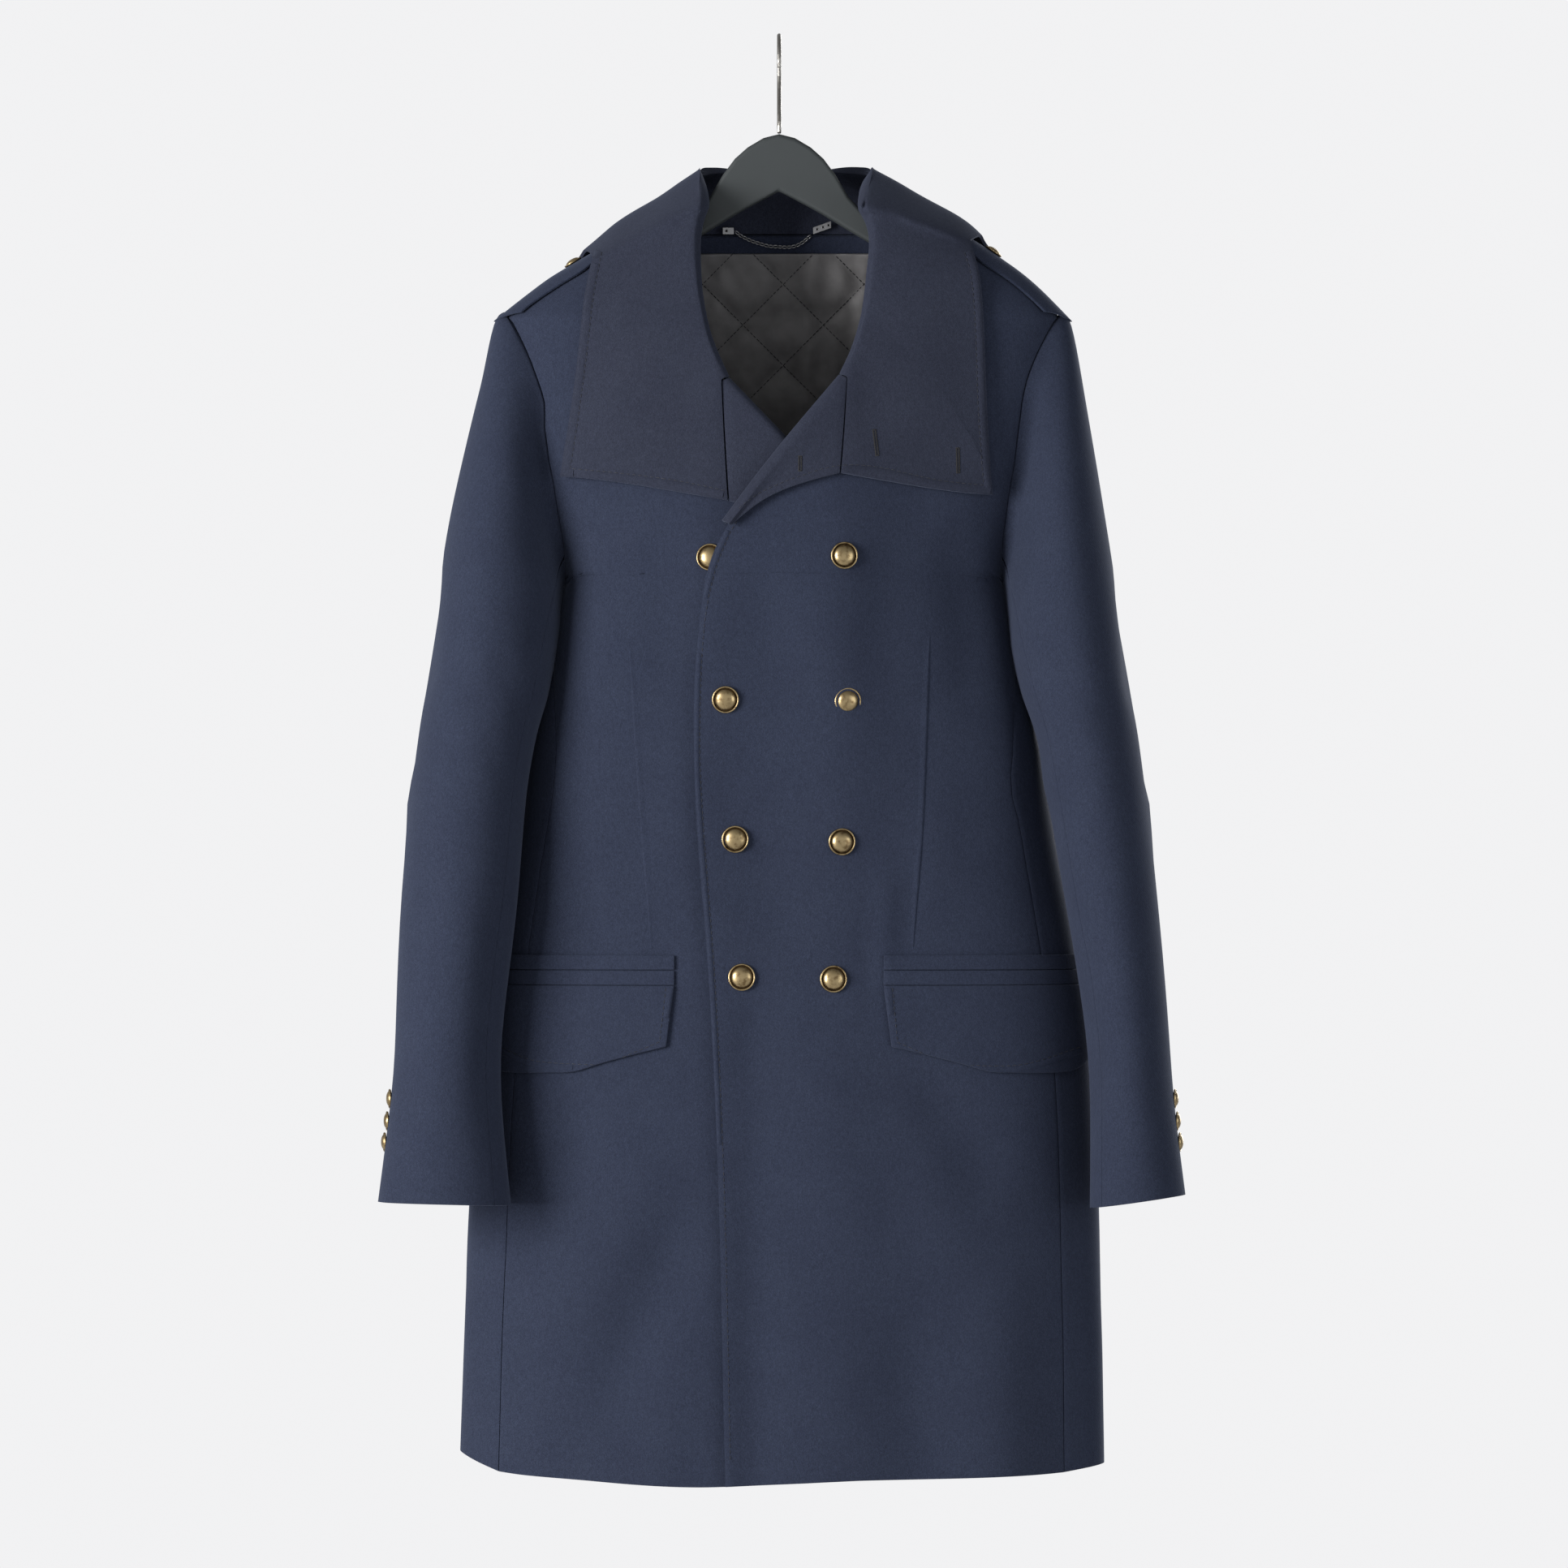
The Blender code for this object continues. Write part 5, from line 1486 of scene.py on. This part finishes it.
def finish_node(node: str, material: bpy.types.Material, edge: float, levels: int) -> None:
    """Gives a CAD node that stays its material and soft edges.

    Args:
        node: the node's name.
        material: its material.
        edge: the width of its rounded edges in metres, or 0.
        levels: bevel segments, or subdivision levels where the edge is 0.
    """
    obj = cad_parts[node]
    if obj.material_slots:
        for slot in obj.material_slots:
            slot.link = "OBJECT"
            slot.material = material
    weld = obj.modifiers.new("weld", "WELD")
    weld.merge_threshold = 0.01 * MM
    if edge > 0.0:
        rim = obj.modifiers.new("rim", "BEVEL")
        rim.width = edge
        rim.segments = levels
        rim.limit_method = "ANGLE"
        rim.angle_limit = math.radians(40)
    else:
        fine = obj.modifiers.new("fine", "SUBSURF")
        fine.levels = levels
        fine.render_levels = levels
    LOG.info("%s: finished in place", node)


# Studio


@dataclass(frozen=True)
class Studio:
    """Camera, light and floor.

    A row of the lights holds a name, a place, the point that it faces, its side in metres, watts and its colour.
    """

    frame_width: float = 1.19784
    distance: float = 14.0
    plane_y: float = -0.070
    centre_x: float = 0.0037
    centre_z: float = -0.5729
    floor_z: float = -1.34
    floor_radius: float = 6.0
    backdrop: Colour = (0.885, 0.885, 0.895)
    seen_strength: float = 1.0
    ambient: float = 0.47
    dim_above: float = 0.22
    dim_right: float = 0.15
    lights: tuple = (
        ("key", (-3.3, -2.6, -0.2), (0.0, 0.0, -0.65), 2.0, 228.0, (1.0, 0.99, 0.98)),
        ("front", (0.5, -3.9, -0.3), (0.0, 0.0, -0.7), 2.4, 5.0, (0.94, 0.97, 1.0)),
        ("fill", (3.0, -2.7, -0.5), (0.0, 0.0, -0.7), 2.2, 36.0, (0.94, 0.97, 1.0)),
        ("rim", (1.9, 3.4, 0.2), (0.0, 0.0, -0.6), 2.2, 70.0, (1.0, 1.0, 1.0)),
    )

    def camera(self) -> None:
        """Places the camera square on to the front."""
        data = bpy.data.cameras.new("camera")
        data.sensor_width = 36.0
        data.lens = 36.0 * self.distance / self.frame_width
        data.clip_end = 60.0
        cam = bpy.data.objects.new("camera", data)
        cam.location = (self.centre_x, self.plane_y - self.distance, self.centre_z)
        cam.rotation_euler = (math.radians(90), 0.0, 0.0)
        bpy.context.scene.collection.objects.link(cam)
        bpy.context.scene.camera = cam

    def area(self, name: str, place: Triple, target: Triple, size: float, power: float, colour: Colour) -> None:
        """Adds a soft area light.

        Args:
            name: its name.
            place: its place.
            target: the point that it faces.
            size: its side in metres.
            power: its power in watts.
            colour: its colour.
        """
        data = bpy.data.lights.new(name, "AREA")
        data.shape = "SQUARE"
        data.size = size
        data.energy = power
        data.color = colour
        obj = bpy.data.objects.new(name, data)
        obj.location = place
        obj.rotation_euler = (Vector(target) - Vector(place)).to_track_quat("-Z", "Y").to_euler()
        bpy.context.scene.collection.objects.link(obj)

    def floor(self) -> None:
        """Lays a plain pale floor that fades into the backdrop far out."""
        rings, n = 12, 64
        points = [(0.0, 0.0, self.floor_z)]
        for r in range(1, rings + 1):
            for k in range(n):
                a = 2 * math.pi * k / n
                d = self.floor_radius * r / rings
                points.append((d * math.cos(a), d * math.sin(a), self.floor_z))
        faces = [[0, 1 + k, 1 + (k + 1) % n] for k in range(n)]
        for r in range(rings - 1):
            for k in range(n):
                a, b = 1 + r * n + k, 1 + r * n + (k + 1) % n
                faces.append([a, a + n, b + n, b])
        s = Shader("floor_pale", (0.80, 0.80, 0.80), 0.9)
        tree = s.tree
        ramp = tree.nodes.new("ShaderNodeTexGradient")
        ramp.gradient_type = "SPHERICAL"
        mapping = tree.nodes.new("ShaderNodeMapping")
        mapping.inputs["Scale"].default_value = (0.42, 0.42, 0.0)
        tree.links.new(s.place, mapping.inputs["Vector"])
        tree.links.new(mapping.outputs["Vector"], ramp.inputs["Vector"])
        clear = tree.nodes.new("ShaderNodeBsdfTransparent")
        mix = tree.nodes.new("ShaderNodeMixShader")
        tree.links.new(ramp.outputs["Fac"], mix.inputs["Fac"])
        tree.links.new(clear.outputs["BSDF"], mix.inputs[1])
        tree.links.new(s.bsdf.outputs["BSDF"], mix.inputs[2])
        tree.links.new(mix.outputs["Shader"], tree.nodes["Material Output"].inputs["Surface"])
        obj = mesh_object("floor", points, faces, [s.material])

    def build(self) -> None:
        """Sets up the whole studio."""
        self.camera()
        world = bpy.data.worlds.new("studio")
        world.use_nodes = True
        tree = world.node_tree
        background = tree.nodes["Background"]
        background.inputs["Color"].default_value = (*self.backdrop, 1.0)
        direction = tree.nodes.new("ShaderNodeTexCoord").outputs["Generated"]
        split = tree.nodes.new("ShaderNodeSeparateXYZ")
        tree.links.new(direction, split.inputs["Vector"])
        last = None
        for axis, slope in (("Z", self.dim_above), ("X", self.dim_right)):
            step = tree.nodes.new("ShaderNodeMath")
            step.operation = "MULTIPLY_ADD"
            tree.links.new(split.outputs[axis], step.inputs[0])
            step.inputs[1].default_value = -slope
            step.inputs[2].default_value = self.ambient
            if last is not None:
                tree.links.new(last, step.inputs[2])
            last = step.outputs["Value"]
        seen = tree.nodes.new("ShaderNodeMix")
        seen.inputs[3].default_value = self.seen_strength
        tree.links.new(tree.nodes.new("ShaderNodeLightPath").outputs["Is Camera Ray"], seen.inputs[0])
        tree.links.new(last, seen.inputs[2])
        tree.links.new(seen.outputs[0], background.inputs["Strength"])
        bpy.context.scene.world = world
        bpy.context.scene.view_settings.view_transform = "Standard"
        for light in self.lights:
            self.area(*light)
        self.floor()


# Assembly


class Coat:
    """All the cloth, its sewing and its buttons."""

    KINDS = {"front_left": LappedFront, "shoulder_strap_right": StrapCloth, "shoulder_strap_left": StrapCloth,
             "top_sleeve_right": SleeveCloth, "under_sleeve_right": SleeveCloth,
             "top_sleeve_left": SleeveCloth, "under_sleeve_left": SleeveCloth}

    def __init__(self) -> None:
        """Makes the cloths and threads."""
        self.wool = Wool().material()
        self.collar_wool = Wool("wool_collar", (0.0268, 0.0312, 0.0505), 1.1).material()
        self.lining_cloth = Lining().material()
        self.thread = Thread("thread_navy", (0.014, 0.017, 0.030)).material()
        self.dark_thread = Thread("thread_black", (0.006, 0.006, 0.008)).material()
        self.pieces: dict[str, ClothPiece] = {}
        self.cloth: BVHTree | None = None

    def dress(self) -> None:
        """Builds every cloth piece with the shared folds."""
        names = [cut.node for cut in CUTS]
        solids = tree_of(*[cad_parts[name] for name in names])
        drape = Drape(CREASES, solids)
        for cut in CUTS:
            material = self.collar_wool if cut.warm else self.wool
            kind = self.KINDS.get(cut.node, ClothPiece)
            self.pieces[cut.node] = kind(cut).build(drape, material)
        self.pieces["lining"] = QuiltedLining(LINING_CUT).build(drape, self.lining_cloth)
        self.cloth = tree_of(*[self.pieces[name].obj for name in names])

    def tree(self, *nodes: str) -> BVHTree:
        """Makes the search tree of some dressed pieces.

        Args:
            *nodes: their nodes' names.

        Returns:
            The tree.
        """
        return tree_of(*[self.pieces[node].obj for node in nodes])

    def sew(self) -> None:
        """Adds edge stitching, darts, seams and buttonholes."""
        edge = Sewing("stitching_edges", self.thread)
        for welt in WELTS:
            nodes = LEAVES if "collar" in welt.nodes else welt.nodes
            edge.run(inset_path(welt.legs, welt.inset), self.tree(*nodes), EDGE_STITCH)
        edge.finish()
        for welt in WELTS:
            welt.build(self.tree(*welt.nodes), self.collar_wool if welt.warm else self.wool)
        holes = Sewing("buttonholes", self.dark_thread)
        for hole in BUTTONHOLES:
            hole.sew(holes, self.cloth)
        holes.finish()
        quilting = Sewing("stitching_quilting", self.dark_thread)
        lining = self.tree("lining")
        for line in self.pieces["lining"].lines():
            quilting.run(smooth_path(line, 2.0 * MM), lining, QUILTING_STITCH)
        quilting.finish()
        for fold in DARTS:
            fold.build(self.cloth, self.wool)

    def button_up(self) -> None:
        """Sews on the buttons."""
        brass = Brass().material()
        patina = Brass("brass_patina", (0.085, 0.055, 0.026), (0.030, 0.020, 0.012), 0.45, 0.62).material()
        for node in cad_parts:
            if "button" in node:
                Button(node).build(brass, patina, self.cloth)

    def hang(self) -> None:
        """Finishes the hanger, the hook and the chain."""
        finish_node("hanger", MouldedPlastic().material(), 2.2 * MM, 3)
        finish_node("hook", DrawnSteel("steel_satin", (0.36, 0.345, 0.32), 0.28, 0.42).material(), 0.0, 1)
        steel = DrawnSteel("steel_chain", (0.30, 0.30, 0.31), 0.30, 0.46).material()
        # near-black steel painted into the rivet holes as their shade
        hole = DrawnSteel("painted_hole_shade", (0.02, 0.02, 0.02), 0.5, 0.7).material()
        chain = Chain()
        chain.build(steel)
        chain.plates(steel, hole)


def main() -> None:
    """Builds the scene in order."""
    logging.basicConfig(level=logging.INFO, format="%(name)s %(message)s")
    Studio().build()
    coat = Coat()
    coat.dress()
    coat.sew()
    coat.button_up()
    coat.hang()


if __name__ == "__main__":
    main()
